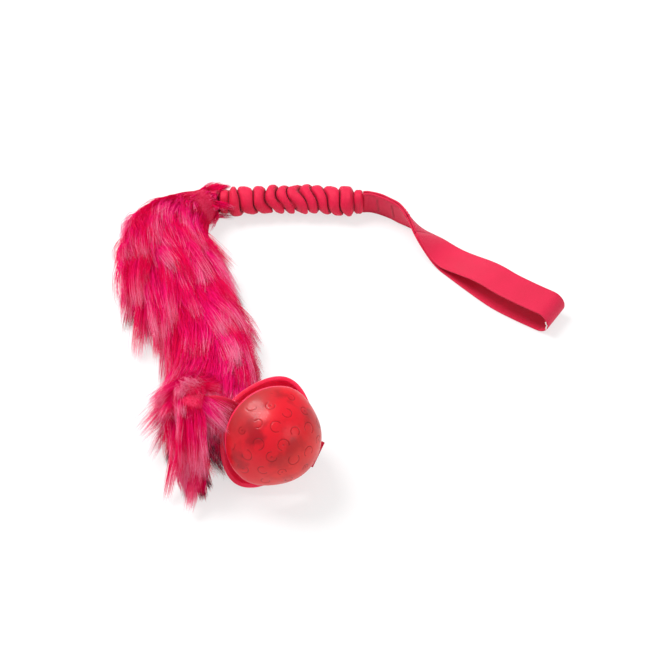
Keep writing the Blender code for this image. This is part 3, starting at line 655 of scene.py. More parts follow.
def loopPath():
    # Upper run, round the far end, and back along the lower run
    s = np.linspace(loopStart, handleRoute.length, 40)
    place, ahead, wide, stack = handleFrame(s)
    half = (handleSpread(s) / 2)[:, None]
    angles = np.linspace(0, math.pi, 22)[1:-1, None]
    out = stack[-1] * np.cos(angles) + ahead[-1] * np.sin(angles)
    bend = place[-1] + out * half[-1]
    centres = np.vstack([place + stack * half, bend, (place - stack * half)[::-1]])
    wides = np.vstack([wide, np.repeat(wide[-1:], len(bend), 0), wide[::-1]])
    thicks = np.vstack([stack, out, -stack[::-1]])
    steps = np.concatenate([[0], np.cumsum(np.linalg.norm(np.diff(centres, axis=0), axis=1))])
    return centres, wides, thicks, steps


def makeHandle(web):
    # Both layers of the neck, of the twist and of the loop
    neck = np.concatenate([np.linspace(0, handle["neckBend"], 6),
                           np.linspace(neckStart, neckEnd, 20)[1:]])
    twist = np.linspace(neckEnd, loopStart, 10)
    bendEnds = handleFrame(np.array([0.0, handle["neckBend"]]))[0]
    twistEnds = handleFrame(np.array([neckEnd, loopStart]))[0]
    layers = {}
    for side, word in ((-1, "near"), (1, "far")):
        layers["neck", word] = handleLayer(f"handle_neck_{word}", neck, side, web, 0.0001)
        layers["twist", word] = handleLayer(f"handle_twist_{word}", twist, side, web)
        bendPiece(layers["neck", word], "grip_end", "neck", *bendEnds)
        bendPiece(layers["twist", word], "neck", "grip_loop", *twistEnds)
    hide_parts("handle_neck")
    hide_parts("handle_neck_bend")
    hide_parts("handle_loop_bend")
    centres, wides, thicks, along = loopPath()
    loop = ribbon("handle_loop_strap", centres, wides, thicks, webSize, web, along)
    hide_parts("handle_loop")
    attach(loop, "grip_loop")


def makeHandleStitches(thread):
    # Rows along the neck's edges, and bars across it
    s = np.linspace(0.003, neckEnd - 0.001, 50)
    place, _, wide, stack = handleFrame(s)
    reach = handle["thick"] + handle["gap"] / 2 + 0.0001
    lines = [list(place + wide * edge + stack * side * reach)
             for side in (-1, 1) for edge in (-sewing["edge"], sewing["edge"])]
    sewn = stitchLines("handle_edge_stitches", lines, thread, Pitch=0.0026, Length=0.0019,
                       Radius=0.00020)
    bendPiece(sewn, "grip_end", "neck", *handleFrame(np.array([0.0, handle["neckBend"]]))[0])
    across = np.linspace(-sewing["barHalf"], sewing["barHalf"], sewing["barPoints"])[:, None]
    step = np.where(np.arange(sewing["barPoints"]) % 2, sewing["zigzag"], -sewing["zigzag"])
    for number, along in enumerate(sewing["bars"], 1):
        place, ahead, wide, stack = handleFrameAt(neckStart + along)
        lines = [list(place - stack * reach + wide * across + ahead * (dx + step[:, None]))
                 for dx in (-sewing["rowGap"], sewing["rowGap"])]
        bar = stitchLines(f"handle_bar_{number}", lines, thread, Pitch=0.0012, Length=0.0014,
                          Radius=0.0003)
        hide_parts(f"handle_neck_tack_{number}")
        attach(bar, "neck")


def makeLooseThread(white):
    # A thread end that lies against the loop's far bend
    place, ahead, wide, stack = handleFrameAt(handleRoute.length)
    bendRadius = float(handleSpread(handleRoute.length)) / 2
    edge = place + wide * (handle["width"] / 2 + loose["beyond"])
    path = []
    for k in range(loose["points"]):
        a = loose["from"] + loose["length"] / bendRadius * k / (loose["points"] - 1)
        out = stack * math.cos(a) + ahead * math.sin(a)
        path.append(edge + out * (bendRadius + 0.0002 * math.sin(k * 0.7))
                    + wide * 0.0003 * math.sin(k * 0.45))
    run = unit(np.gradient(np.array(path), axis=0))
    across = unit(np.cross(run, wide))
    turn = turns(loose["sides"])
    rings = (np.array(path)[:, None]
             + across[:, None] * (loose["radius"] * np.cos(turn))[None, :, None]
             + np.cross(run, across)[:, None] * (loose["radius"] * np.sin(turn))[None, :, None])
    end = meshPiece("loose_end", rings, tubeFaces(loose["points"], loose["sides"]), white)
    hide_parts("loose_thread")
    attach(end, "grip_loop")


# Gathered elastic sleeve

pleat = {"sides": 96, "rows": 28, "slant": (0.26, 0.15), "uneven": 0.34, "height": (0.86, 0.22),
         "full": 1.55, "crumple": 0.00045, "bulge": 0.12, "lean": 0.0024, "hem": 0.72}
cord = {"rows": 60, "sides": 28, "radius": 0.0045, "rib": 0.0002}
gather = {"rows": 24, "sides": 64, "halfY": 0.0071, "halfZ": 0.0096, "square": 0.7,
          "uneven": 0.05, "pinch": 0.22, "sewnAt": (-0.0012, 0.0012)}


def sleeveEnds():
    start = (*sleeve["start"], axisHeight)
    return start, (start[0] + sleeve["length"], start[1], axisHeight)


def sleevePoints(u, angle, radius, shift=0.0):
    # Rings round the sleeve's slightly bowed middle line
    start, end = sleeveEnds()
    x = np.clip(start[0] + sleeve["length"] * u + shift, start[0], end[0])
    y = start[1] + sleeve["bow"] * np.sin(math.pi * u) + radius * np.cos(angle)
    z = axisHeight + radius * np.sin(angle)
    return np.stack(np.broadcast_arrays(x, y, z), -1)


def makeSleeve(web):
    sides = pleat["sides"]
    count = sleeve["pleats"] * pleat["rows"]
    pitch = sleeve["length"] / sleeve["pleats"]
    u = np.linspace(0, 1, count + 1)[:, None]
    angle = turns(sides)[None, :]
    ends = smooth(np.minimum(u, 1 - u) * sleeve["pleats"])
    slant = (pleat["slant"][0] * np.sin(angle + 0.5)
             + pleat["slant"][1] * np.sin(2 * angle + 9.0 * u))
    uneven = pleat["uneven"] * ripple(u * 22, np.sin(angle) * 0.9 + 3 * u, 5, 2)
    phase = u * sleeve["pleats"] + (slant + uneven) * ends
    wave = np.abs(np.sin(math.pi * phase)) ** 0.8
    high = pleat["height"][0] + pleat["height"][1] * ripple(u * 28, angle * 0.8, 9, 2)
    radius = (sleeve["bore"] + sleeve["wall"] * 0.2
              + sleeve["depth"] * pleat["full"] * wave * high)
    crumple = ripple(np.cos(angle) * 5 + u * 90, np.sin(angle) * 5, 3, 3)
    radius = np.minimum(radius + pleat["crumple"] * crumple * wave, sleeve["crest"] - 0.0001)
    bulge = -pleat["bulge"] * pitch * np.sin(2 * math.pi * phase) * wave
    lean = pleat["lean"] * (wave - 0.3) * (0.7 - 0.5 * np.sin(angle))
    outer = sleevePoints(u, angle, radius, (lean + bulge) * ends)
    # The cloth turns in at both ends and is closed through the inside
    inner = outer[[0, -1]].copy()
    for row, k in ((0, 0), (1, -1)):
        centre = np.array([outer[k, 0, 0], sleeve["start"][1], axisHeight])
        inner[row] = centre + (outer[k] - centre) * pleat["hem"]
    points = np.vstack([outer.reshape(-1, 3), inner.reshape(-1, 3)])
    n = len(outer) * sides
    faces = gridFaces(len(outer), sides)
    for c in range(sides):
        d = (c + 1) % sides
        faces.append((c, n + c, n + d, d))
        faces.append((n - sides + d, n + sides + d, n + sides + c, n - sides + c))
        faces.append((n + c, n + sides + c, n + sides + d, n + d))
    step = np.linalg.norm(np.diff(outer, axis=0), axis=2).mean(1)
    run = np.concatenate([[0], np.cumsum(step)])
    uv = np.stack(np.broadcast_arrays(angle * 0.010, run[:, None]), -1).reshape(-1, 2)
    uv = np.vstack([uv, uv[:sides], uv[-sides:]])
    body = meshPiece("elastic_sleeve_cloth", points, faces, web, uv)
    # Painted shade for the material: how far down each outer point lies in a valley between pleats
    creaseShade = np.zeros(len(points))
    creaseShade[:n] = (1 - smooth(wave * 1.35)).ravel()
    storeValues(body.data, "creaseShade", creaseShade)
    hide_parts("elastic_sleeve")
    bendPiece(body, "tail_top", "grip_end", *sleeveEnds())


def makeElastic(cloth):
    rows, sides = cord["rows"], cord["sides"]
    u = np.linspace(0, 1, rows)[:, None]
    angle = turns(sides)[None, :]
    radius = cord["radius"] - cord["rib"] * (1 + np.cos(angle * 7 + u * 60)) / 2
    core = meshPiece("elastic_core", sleevePoints(u, angle, radius), tubeFaces(rows, sides),
                     cloth)
    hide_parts("elastic_cord")
    bendPiece(core, "tail_top", "grip_end", *sleeveEnds())


def makeSeam(name, x, web, thread, node, body):
    # The gathered end of the sleeve, pressed flat and sewn through
    rows, sides = gather["rows"], gather["sides"]
    halfY, halfZ = gather["halfY"], gather["halfZ"]
    u = np.linspace(-1, 1, rows)[:, None]
    angle = turns(sides)[None, :]
    # Uneven folds, and narrower at both ends
    tuck = 1 + gather["uneven"] * ripple(angle * 2.4, u * 2, 31, 2) - gather["pinch"] * u ** 4
    swell = np.abs(np.cos(angle)) ** gather["square"] * np.sign(np.cos(angle))
    y = sleeve["start"][1] + halfY * swell * tuck
    z = axisHeight + halfZ * np.sin(angle) * tuck
    reach = sleeve["seam"] / 2 + 2 * sleeve["seat"]
    points = np.stack(np.broadcast_arrays(x + u * reach, y, z), -1)
    uv = np.stack(np.broadcast_arrays(angle * 0.007, u * 0.003), -1).reshape(-1, 2)
    seam = meshPiece(name, points, tubeFaces(rows, sides), web, uv)
    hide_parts(node)
    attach(seam, body)
    around = np.linspace(-0.95, 0.95, 16) * math.pi / 2 * 0.8
    lines = [[(x + dx, sleeve["start"][1] + side * halfY * math.cos(a) ** gather["square"],
               axisHeight + halfZ * math.sin(a)) for a in around]
             for dx in gather["sewnAt"] for side in (-1, 1)]
    sewn = stitchLines(name + "_stitches", lines, thread, Pitch=0.0017, Length=0.0013,
                       Radius=0.00025)
    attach(sewn, body)


# Strap through the fur and into the ball

def ballAxes():
    normal = unit(ball["normal"])
    mouth = np.array(ball["mouth"])
    mouth = unit(mouth - normal * mouth.dot(normal))
    axes = np.stack([mouth, np.cross(normal, mouth), normal], 1)
    back = np.array([ball["radius"] * (math.cos(ball["opening"]) - 1), 0,
                     -ball["radius"] * math.sin(ball["opening"])])
    centre = np.array([*ball["place"], ball["radius"] - (axes @ back)[2]])
    return centre, axes


ballCentre, ballMatrix = ballAxes()


def fromBall(p):
    return ballCentre + np.asarray(p) @ ballMatrix.T


def opened(p):
    # A point of the back half, turned open about the hinge line
    p = np.asarray(p, float)
    c, s = math.cos(ball["opening"]), math.sin(ball["opening"])
    turn = np.array([[c, 0, s], [0, 1, 0], [-s, 0, c]])
    line = np.array([-ball["radius"], 0, 0])
    return (p - line) @ turn.T + line


def slotPoint(radius):
    return opened(np.array([-math.cos(ball["slot"]), 0, -math.sin(ball["slot"])]) * radius)


mouthPoint = (np.array([ball["radius"], 0, 0]) + opened([ball["radius"], 0, 0])) / 2
stopPoint = slotPoint(ball["radius"] + sleeve["seat"])


def strapRoute():
    # Along the tail, up to the ball's lips and through to its slot
    shift = np.array([0.0076, -0.0156, 0.0])
    start = np.array([sleeve["start"][0] - sleeve["seam"] - 3 * sleeve["seat"],
                      sleeve["start"][1], axisHeight])
    tail = [(-0.0970, 0.1165), (-0.1070, 0.1065), (-0.1145, 0.0915), (-0.1175, 0.0750),
            (-0.1150, 0.0560), (-0.1090, 0.0200), (-0.0995, -0.0150), (-0.0930, -0.0480),
            (-0.0925, -0.0750)]
    points = [start, start - [0.005, 0, 0]]
    for i, (x, y) in enumerate(tail):
        rise = axisHeight + (fur["height"] / 2 - axisHeight) * float(smooth((i + 1) / 4))
        points.append(np.array([x, y, rise]) - shift)
    last = points[-1]
    lip = fromBall(mouthPoint + [0.011, 0, -0.0005])
    points.append(last + (lip - last) * 0.40 + [-0.0110, -0.0030, -0.0045])
    points.append(last + (lip - last) * 0.78 + [-0.0110, -0.0075, 0.0035])
    points += [lip, fromBall(mouthPoint), fromBall((mouthPoint + stopPoint) / 2),
               fromBall(stopPoint)]
    return Route(points)


route = strapRoute()
swingEnd = float(route.nearest(fromBall(mouthPoint))) - strap["beforeLips"]
swingStart = swingEnd - strap["swing"]
furEnd = swingStart - strap["furGap"]
fold = {"across": 0.0095, "thick": 0.00065, "half": 0.0032, "layer": 0.00145, "rise": 0.0009,
        "face": 0.0054, "out": 0.0006, "points": 60, "sewnHalf": 0.0075, "sewnApart": 0.0013}
tack = {"halfWide": 0.0104, "halfThick": 0.0013, "apart": 0.00035, "fromEnd": 0.0008}


def rollAt(s):
    # The strap turns on its way to the ball, to lie along the mouth
    lastSide, lastUp = route.sideAndUp(route.length - 0.01)
    mouthLine = -ballMatrix[:, 1]
    turned = math.atan2(mouthLine.dot(lastSide), mouthLine.dot(lastUp))
    return turned * smooth((s - swingEnd) / strap["rollLength"] + 1)


def strapDirections(s):
    side, up = route.sideAndUp(s)
    roll = rollAt(s)[:, None]
    return up * np.cos(roll) + side * np.sin(roll), side * np.cos(roll) - up * np.sin(roll)


def strapPiece(name, start, end, web):
    s = np.linspace(start, end, max(4, int((end - start) / strap["step"])))
    wide, thin = strapDirections(s)
    return ribbon(name, route.at(s), wide, thin, (strap["halfWidth"], strap["halfThick"]), web,
                  s)


def makeStraps(web, thread):
    core = strapPiece("core_strap_web", 0.0, swingStart, web)
    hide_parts("core_strap", "core_strap_fold", "core_strap_top")
    bendPiece(core, "tail", "tail_top", route.at(fur["foldEnd"]), route.at(fur["foldStart"]))
    bend = strapPiece("ball_strap_web", swingStart + strap["gap"], route.length, web)
    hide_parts("ball_strap", "ball_strap_bend")
    bendPiece(bend, "tail", "ball", route.at(swingStart), route.at(swingEnd))
    makeStrapStop(web, thread)
    # Stitches round the strap at both ends of the fur
    inset = tack["fromEnd"]
    for name, s, body, node in (("fur_end_thread", swingStart - inset, "tail", "fur_tail_tack"),
                                ("fur_top_thread", inset, "tail_top", "fur_top_tack")):
        wide, thin = (v[0] for v in strapDirections(np.array([s])))
        corners = [wide * a * tack["halfWide"] + thin * b * tack["halfThick"]
                   for a, b in ((1, 1), (1, -1), (-1, -1), (-1, 1), (1, 1))]
        loops = [[route.at(s) + route.tangent(s) * ahead + corner for corner in corners]
                 for ahead in (-tack["apart"], tack["apart"])]
        sewn = stitchLines(name, loops, thread, Pitch=0.0022, Length=0.0021, Radius=0.0003)
        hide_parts(node)
        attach(sewn, body)


def makeStrapStop(web, thread):
    # The strap's end outside the ball, folded three layers thick and sewn
    inner = slotPoint(ball["radius"] + fold["out"])
    through = unit(slotPoint(ball["radius"] * 2) - inner)
    wide, thick = ballMatrix @ [0, 1, 0], ballMatrix @ np.cross(through, [0, 1, 0])
    out = ballMatrix @ through
    s = np.linspace(0, 1, fold["points"])
    zig = []
    for k in s:
        layer = min(int(k * 3), 2)
        inLayer = k * 3 - layer
        a = fold["half"] * (1 - 2 * inLayer) * (1 if layer % 2 == 0 else -1)
        zig.append((a, fold["rise"] + fold["layer"] * (layer + smooth((inLayer - 0.8) / 0.2))))
    zig = np.array(zig)
    centres = fromBall(inner) + zig[:, :1] * thick + zig[:, 1:] * out
    path = unit(np.gradient(centres, axis=0))
    across = np.repeat(wide[None], len(s), 0)
    stop = ribbon("ball_strap_fold", centres, across, np.cross(path, across),
                  (fold["across"], fold["thick"]), web, s * 0.03)
    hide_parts("ball_strap_stop")
    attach(stop, "ball")
    face = fromBall(inner) + out * fold["face"]
    across = np.linspace(-fold["sewnHalf"], fold["sewnHalf"], 8)
    lines = [[face + wide * w + thick * t for w in across]
             for t in (-fold["sewnApart"], fold["sewnApart"])]
    sewn = stitchLines("ball_strap_fold_stitches", lines, thread, Pitch=0.0019, Length=0.0015,
                       Radius=0.00028)
    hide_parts("ball_strap_stop_tack")
    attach(sewn, "ball")


# Ball: two bowls with rolled lips, and the web that joins them

shell = {"columns": 432, "rows": 104, "lipRows": 8, "lipOutside": 5, "lipInside": 22,
         "pole": 0.006, "flareAt": (0.18, 0.42), "dipAt": (0.6, 0.35), "rollAt": (0.62, 0.38),
         "wider": 0.45, "cut": 0.00032, "plain": (0.86, 0.04),
         "pale": 0.9, "tableLightAt": (0.02, 0.80), "tableLightSide": (0.75, -0.50, -0.45),
         "furShadeAt": (0.35, 0.5), "furShadeSide": (-0.75, 0.45, 0.50)}
pattern = {"count": 34, "sizes": (0.06, 0.125), "line": 0.0085, "dot": 0.017, "gap": 0.72}
hinge = {"rows": 40, "across": 12, "halfAngle": math.radians(36), "halfHeight": 0.0030,
         "trim": 0.0024, "trimAngle": math.radians(39)}


def shellPoint(angle, share, radius, flare, dip):
    polar = math.acos(ball["gap"] / ball["radius"]) * share
    side = 0.5 + 0.5 * np.cos(angle)
    roll = flare * onset(side, *shell["flareAt"]) * (1 - dip * onset(side, *shell["dipAt"]))
    # The wider lip is widest on one side of the mouth
    roll = roll * (1 + dip * shell["wider"] * smooth(-np.sin(angle) * 1.6 - 0.4))
    out = radius * np.sin(polar) + roll * onset(share, *shell["rollAt"])
    fromHinge = np.abs(np.abs(angle) - math.pi)
    trim = hinge["trim"] * smooth((hinge["trimAngle"] - fromHinge) / math.radians(3))
    height = np.maximum(radius * np.cos(polar), trim + ball["gap"])
    return np.stack(np.broadcast_arrays(out * np.cos(angle), out * np.sin(angle), height), -1)


def relief(angle, share):
    # A plain pattern of open rings and dots, spread evenly over the half
    polar = share * math.pi / 2
    at = np.stack([np.sin(polar) * np.cos(angle), np.sin(polar) * np.sin(angle), np.cos(polar)], -1)
    made = np.random.default_rng(4)
    cut = np.zeros(angle.shape)
    for k in range(pattern["count"]):
        high = 1 - 0.92 * (k + 0.5) / pattern["count"]
        turn = k * 2.39996  # golden angle
        wide = math.sqrt(1 - high * high)
        middle = np.array([wide * math.cos(turn), wide * math.sin(turn), high])
        side = unit(np.cross(middle, [0.3, 0.2, 1.0]))
        away = np.arccos(np.clip(at @ middle, -1, 1))
        around = np.arctan2(at @ np.cross(middle, side), at @ side)
        size, start = made.uniform(*pattern["sizes"]), made.uniform(0, 6.28)
        drawn = smooth((np.cos(around - start) + pattern["gap"]) / 0.12)
        cut = cut + np.exp(-((away - size) / pattern["line"]) ** 2) * drawn
        if k % 3 == 0:
            cut = cut + np.exp(-(away / pattern["dot"]) ** 2)
    return np.clip(cut, 0, 1)


def makeShell(name, materials, flare, dip, node, back):
    columns, rows, lipRows = shell["columns"], shell["rows"], shell["lipRows"]
    angle = (turns(columns) - math.pi)[None, :]
    share = np.linspace(shell["pole"], 1, rows)[:, None]
    outer = shellPoint(angle, share, ball["radius"], flare, dip)
    inner = shellPoint(angle, share, ball["radius"] - ball["wall"], flare, dip)
    plainFrom, fade = shell["plain"]
    cut = relief(np.broadcast_to(angle, (rows, columns)),
                 np.broadcast_to(share, (rows, columns))) * smooth((plainFrom - share) / fade)
    outer = outer - unit(outer) * (cut * shell["cut"])[..., None]
    inner[-1, :, 2] = outer[-1, :, 2]
    # Rounded lip between the two walls
    turn = np.linspace(0, math.pi, lipRows + 2)[1:-1, None, None]
    middle = (outer[-1] + inner[-1]) / 2
    half = (outer[-1] - inner[-1]) / 2
    down = np.zeros_like(half)
    down[..., 2] = -ball["gap"] * 0.5
    rim = middle + half * np.cos(turn) + down * np.sin(turn)
    rings = np.concatenate([outer, rim, inner[::-1]])
    flat = rings.reshape(-1, 3)
    poles = np.array([[0, 0, flat[:columns, 2].mean()], [0, 0, flat[-columns:, 2].mean()]])
    points = np.vstack([flat, poles])
    if back:
        points = opened(points * [1, -1, -1])
    points = fromBall(points)
    faces = gridFaces(len(rings), columns)
    last = len(rings) * columns
    for c in range(columns):
        d = (c + 1) % columns
        faces.append((last, d, c))
        faces.append((last + 1, last - columns + c, last - columns + d))
    thing = meshPiece(name, points, faces, materials[0])
    thing.data.materials.append(materials[1])
    index = np.zeros(len(thing.data.polygons), int)
    ring = np.arange((len(rings) - 1) * columns) // columns
    # The glowing lip material covers the rim, a few rows down the outside and more rows down the inside:
    # painted light on the inner face
    onLip = (ring >= rows - shell["lipOutside"]) & (ring <= rows + lipRows + shell["lipInside"])
    index[:len(ring)] = onLip.astype(int)
    thing.data.polygons.foreach_set("material_index", index)
    groove = np.zeros(len(points))
    groove[:rows * columns] = cut.ravel()
    outward = unit(points - ballCentre)
    storeValues(thing.data, "groove", groove)
    # Painted light on the lower right, towards the table, and painted shade and reflection of the fur on the
    # upper left, from the way each point faces
    storeValues(thing.data, "pale", shell["pale"] * onset(outward @ unit(shell["tableLightSide"]),
                                                          *shell["tableLightAt"]))
    storeValues(thing.data, "furShade", onset(outward @ unit(shell["furShadeSide"]), *shell["furShadeAt"]))
    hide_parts(node)
    return thing


def makeWeb(rubber):
    halfAngle = hinge["halfAngle"]
    angle = math.pi - halfAngle + 2 * halfAngle * np.linspace(0, 1, hinge["rows"])
    across = np.linspace(1, -1, hinge["across"])
    rings = []
    for a in angle:
        for radius, order in ((ball["radius"], across), (ball["radius"] - ball["wall"],
                                                         across[::-1])):
            for v in order:
                straight = np.array([radius * math.cos(a), radius * math.sin(a),
                                     v * hinge["halfHeight"]])
                bent = opened(straight)
                rings.append(straight + (bent - straight) * (1 - float(smooth((v + 1) / 2))))
    points = fromBall(np.array(rings))
    web = meshPiece("ball_hinge_strip", points, tubeFaces(hinge["rows"], 2 * hinge["across"]),
                    rubber)
    # The hinge strip gets a little painted light and no painted fur shade
    for name, value in (("groove", 0.0), ("pale", 0.25), ("furShade", 0.0)):
        storeValues(web.data, name, np.full(len(points), value))
    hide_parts("ball_hinge_web")
    bendPiece(web, "ball", "jaw", fromBall(opened([-ball["radius"], 0, -hinge["halfHeight"]])),
              fromBall([-ball["radius"], 0, hinge["halfHeight"]]))


def makeBall(rubber, lip):
    front = makeShell("ball_front_shell", (rubber, lip), ball["flare"], 0.0, "ball_front_half",
                      False)
    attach(front, "jaw")
    back = makeShell("ball_back_shell", (rubber, lip), ball["backFlare"], ball["dip"],
                     "ball_back_half", True)
    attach(back, "ball")
    makeWeb(rubber)


# Fur: a soft backing, and strands grown on it by geometry nodes

coat = {"start": 0.0015, "skinShare": 0.80, "collarShare": 0.86, "lowest": 0.004, "parts": 12,
        "rings": 26, "sides": 40, "strands": 48000, "surplus": 1.25, "guides": 900,
        "guideSeed": 40, "length": 0.042, "vary": (0.72, 1.12), "radius": 0.00019,
        "lift": 0.46, "drop": 0.30, "clump": 0.66, "ownSpread": 0.28, "lockSpread": 0.44,
        "ballClear": 0.0336, "table": (0.004, 0.0008), "lateOuter": 0.46, "endOuter": 0.38,
        "fallOutside": (0.03, -0.86, -0.42), "fallInside": (0.27, -0.92, -0.16),
        "overBall": (0.10, -0.40, 0.0), "neck": 0.7, "toBall": 0.075, "toBallFrom": 0.02}
# Shares at the roots: of the pile's length, of its lift, of bare skin and of dark strands
pile = {"collarLong": 0.27, "endShort": 0.64, "endShortTop": 0.24, "climbLong": 0.10,
        "collarLift": 0.14, "endLower": 0.60, "foldHigher": 0.9, "sideLower": 0.85,
        "climbHigher": 0.20, "bare": 0.72, "dark": 0.15, "endDark": 0.22, "endDarkTop": -0.07,
        "darkFrom": 0.70}
# Stretches of the fur where something grows, and after the second pair fades: each is a start
# along the strap and a length. A start below zero is measured back from the fur's end.
stretch = {"lateOuter": ((0.0, 0.02), (0.01, 0.05)), "endOuter": ((-0.19, 0.07), (-0.03, 0.03)),
           "forward": ((0.005, 0.010),), "leaves": ((-0.105, 0.07),),
           "leavesTop": ((-0.030, 0.025),), "neck": ((-0.014, 0.012),),
           "curl": ((0.02, 0.01), (-0.07, 0.05)), "covered": ((-0.07, 0.03),),
           "long": ((0.012, 0.05),), "short": ((-0.06, 0.04),),
           "climb": ((-0.095, 0.025), (-0.042, 0.02)), "darker": ((-0.115, 0.06),),
           "lifted": ((0.020, 0.03),), "low": ((-0.085, 0.05),),
           "fold": ((0.025, 0.02), (0.055, 0.05)), "side": ((-0.20, 0.05),)}
backing = {"rings": 90, "sides": 48, "holeThick": 0.0017, "holeWide": 0.0107}
strandValues = {"root": "FLOAT_VECTOR", "flow": "FLOAT_VECTOR", "normal": "FLOAT_VECTOR",
                "bend": "FLOAT_VECTOR", "jitter": "FLOAT_VECTOR", "reach": "FLOAT",
                "raised": "FLOAT"}


def between(a, b, share):
    return a + (b - a) * share


def reached(s, name):
    value = 1.0
    for fading, (start, length) in enumerate(stretch[name]):
        share = onset(s, start + (furEnd if start < 0 else 0.0), length)
        value = value * (1 - share if fading else share)
    return value


def furSkin(s, angle):
    # Points of the backing round the strap: the CAD's outline, a pile's depth inside it
    s = s[:, None]
    angle = angle - rollAt(s)
    across, rise = np.cos(angle), np.sin(angle)
    swell = smooth(s / fur["swell"])
    taper = smooth((s - furEnd + fur["taper"]) / fur["taper"])
    width = between(between(fur["collarWidth"], fur["width"], swell), fur["cuffWidth"], taper)
    height = between(between(fur["collarHeight"], fur["height"], swell), fur["cuffHeight"], taper)
    fromFold = np.abs(s - (fur["foldStart"] + fur["foldEnd"]) / 2)
    folded = smooth((fur["foldReach"] - fromFold) / fur["foldFade"])
    inner = width / 2 * (1 - (1 - fur["foldInner"]) * folded)
    # The pile is thin on the outer side next to the sleeve and towards the ball
    late = (1 - coat["lateOuter"] * reached(s, "lateOuter")
            - coat["endOuter"] * reached(s, "endOuter"))
    outer = between(width / 2, fur["skirt"], taper) * late
    centre = route.at(s[:, 0])
    high = centre[:, 2:3]
    share = between(coat["collarShare"], coat["skinShare"], swell)
    side, up = route.sideAndUp(s[:, 0])
    lump = 1 + 0.05 * ripple(s * 70, np.sin(angle) * 2, 21, 2)
    reach = across * np.where(across > 0, inner, outer) * share * lump
    reach = reach * np.where((across > 0) & (rise < 0), 1 + fur["undercut"] * taper * rise, 1)
    top = np.maximum(rise, 0) * height / 2 * share
    bottom = between(height / 2, high, taper) * np.minimum(1, np.maximum(-rise, 0) * 1.25) * share
    down = up * (1 - taper) + np.array([0, 0, 1.0]) * taper
    points = (centre[:, None, :] + side[:, None, :] * reach[..., None]
              + up[:, None, :] * top[..., None] - down[:, None, :] * bottom[..., None])
    slump = (high - fur["edgeHeight"]) * taper
    points[..., 2] -= slump * smooth((-across - fur["skirtStart"]) / (1 - fur["skirtStart"]))
    points[..., 2] = np.maximum(points[..., 2], coat["lowest"])
    return points


def sidesOfPile(s, angle):
    # How far a root is on the bend's outer side, and on top
    turned = angle - rollAt(s)[:, None]
    return smooth(0.5 - 0.5 * np.cos(turned)), smooth(np.sin(turned) * 1.4 + 0.4)


def flowAt(s, angle, outward):
    # Way the pile lies: back over the sleeve's end, along the tail, and at the tail's
    # end down to the table outside and over the ball inside
    ahead = route.tangent(s)[:, None, :]
    back = 1 - reached(s, "forward")[:, None, None]
    flow = ahead * (1 - back) + (outward * 0.05 - ahead) * back
    outer, upper = (share[..., None] for share in sidesOfPile(s, angle))
    leave = between(reached(s, "leaves")[:, None, None],
                    reached(s, "leavesTop")[:, None, None], upper)
    fall = unit(coat["fallOutside"]) * outer + unit(coat["fallInside"]) * (1 - outer)
    flow = unit(flow * (1 - leave) + fall * leave)
    # On top, the last of the pile covers the strap as far as the ball's lips
    neck = coat["neck"] * reached(s, "neck")[:, None, None] * upper * (1 - outer)
    return unit(flow * (1 - neck) + (ahead + coat["overBall"]) * neck)


def pileAt(s, angle, points):
    # What the strands read at their roots, for each point of the backing
    outward = unit(points - route.at(s)[:, None])
    flow = flowAt(s, angle, outward)
    outer, upper = sidesOfPile(s, angle)
    bend = np.repeat((route.curvature(s) * reached(s, "curl")[:, None])[:, None], angle.size, 1)
    s = s[:, None]
    climb = reached(s, "climb") * upper
    under = smooth((-np.sin(angle) - 0.3) / 0.5) * (1 - reached(s, "covered"))
    length = coat["length"] * between(pile["collarLong"], 1.0, reached(s, "long"))
    length = length * (1 - reached(s, "short") * between(pile["endShort"], pile["endShortTop"],
                                                         upper))
    # Pressed down at the collar and where the pile hangs beside the ball
    raised = coat["lift"] * between(pile["collarLift"], 1.0, reached(s, "lifted"))
    raised = raised * (1 - pile["endLower"] * reached(s, "low"))
    raised = raised * (1 + outer * (pile["foldHigher"] * reached(s, "fold")
                                    - pile["sideLower"] * reached(s, "side")))
    darker = reached(s, "darker") * between(pile["endDark"], pile["endDarkTop"], upper)
    return {"flow": flow, "bend": bend, "raised": raised + pile["climbHigher"] * climb,
            "cover": 1 - pile["bare"] * under, "pile": length * (1 + pile["climbLong"] * climb),
            "darkness": pile["dark"] + darker}


def hairPath(net, t, whose, spread):
    # A strand leaves along the pile, lifts off the backing, curves with it and droops
    root, flow, normal, bend, jitter, length, raised = (
        net.read(whose + name, kind) for name, kind in strandValues.items())
    reach = net.num("MULTIPLY", t, length)
    way = net.vec("ADD", flow, net.scale(jitter, spread))
    place = net.vec("ADD", root, net.scale(way, reach))
    square = net.num("MULTIPLY", reach, reach)
    place = net.vec("ADD", place, net.scale(bend, net.num("MULTIPLY", square, 0.5)))
    rise = net.num("MULTIPLY", reach, net.num("MULTIPLY_ADD", t, -0.62, 1.0))
    place = net.vec("ADD", place, net.scale(normal, net.num("MULTIPLY", rise, raised)))
    fall = net.num("MULTIPLY", net.num("MULTIPLY", t, t), length)
    return net.vec("ADD", place, net.scale((0.0, 0.0, -coat["drop"]), fall))


def pushOut(net, place, centre):
    # Keeps a strand outside one half of the ball
    centre = tuple(float(v) for v in centre)
    away = net.vec("SUBTRACT", place, centre)
    far = net.num("MAXIMUM", net.vec("LENGTH", away, output=1), coat["ballClear"])
    return net.vec("ADD", net.scale(net.vec("NORMALIZE", away), far), centre)


